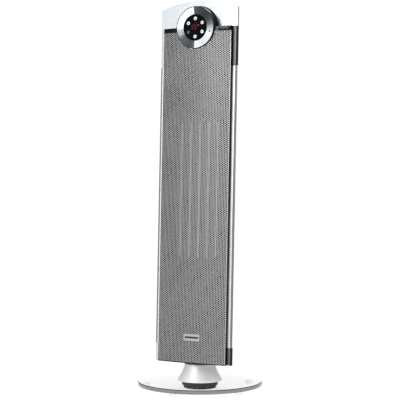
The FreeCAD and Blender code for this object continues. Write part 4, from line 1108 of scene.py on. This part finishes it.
def room_brightness(world, stops, peak):
    """World colour by compass direction, from (degrees, brightness) stops, and bright overhead."""
    coords = node(world, "ShaderNodeTexCoord")
    split = node(world, "ShaderNodeSeparateXYZ", [("Vector", coords.outputs["Generated"])])
    front = node(world, "ShaderNodeMath", [(0, split.outputs["Y"])], operation="MULTIPLY")
    front.inputs[1].default_value = -1.0
    turn = node(world, "ShaderNodeMath", [(0, split.outputs["X"]), (1, front.outputs[0])],
                operation="ARCTAN2")
    share = node(world, "ShaderNodeMapRange", [("Value", turn.outputs[0])], From_Min=-math.pi,
                 From_Max=math.pi)
    levels = [((degrees + 180) / 360, level / peak) for degrees, level in stops]
    around = ramp(world, share.outputs["Result"], levels)
    height = node(world, "ShaderNodeMapRange", [("Value", split.outputs["Z"])], From_Min=OVERHEAD[0],
                  From_Max=OVERHEAD[1])
    mixed = node(world, "ShaderNodeMix", data_type="RGBA")
    mixed.inputs["B"].default_value = (CEILING / peak, CEILING / peak, CEILING / peak, 1)
    world.node_tree.links.new(height.outputs["Result"], mixed.inputs["Factor"])
    world.node_tree.links.new(around, mixed.inputs["A"])
    return mixed.outputs["Result"]


def make_light():
    """White backdrop, with softboxes and dark flags round the room as a gradient, and three lamps."""
    world = bpy.data.worlds.new("studio")
    world.use_nodes = True
    tree = world.node_tree
    peak = max(level for _, level in ROOM)
    room = tree.nodes["Background"]
    room.inputs["Strength"].default_value = peak
    tree.links.new(room_brightness(world, ROOM, peak), room.inputs["Color"])
    backdrop = node(world, "ShaderNodeBackground", Color=(1.0, 1.0, 1.0, 1.0), Strength=BACKDROP)
    seen = node(world, "ShaderNodeLightPath")
    mixed = node(world, "ShaderNodeMixShader", [("Fac", seen.outputs["Is Camera Ray"]), (1, room.outputs[0]),
                                                (2, backdrop.outputs[0])])
    tree.links.new(mixed.outputs[0], tree.nodes["World Output"].inputs["Surface"])
    bpy.context.scene.world = world
    middle = (0, 0, 0.4)
    base = (0, 0, 0.1)
    add_area_light("key_softbox", (-0.7, -2.6, 1.7), middle, 0.9, 16, 1.6)
    add_area_light("top_softbox", (0, 0.1, 2.4), middle, 1.6, 10)
    add_area_light("right_softbox", (2.0, -0.5, 1.1), base, 1.4, 6)
    bpy.context.scene.view_settings.view_transform = "Standard"


def finish_cad_nodes():
    """Every CAD node that stays in view gets its slot's procedural material."""
    for name, obj in frame["nodes"].items():
        obj.data.materials.clear()
        obj.data.materials.append(MATS[NODE_SLOT[name]])


finish_cad_nodes()
make_glass_disc()
make_hub()
make_neck()
make_feet()
make_mesh_grille()
make_covers()
make_edge_inlays()
make_nameplate()
make_drum()
make_ring_marks()
make_buttons()
make_display()
make_camera()
make_floor()
make_light()
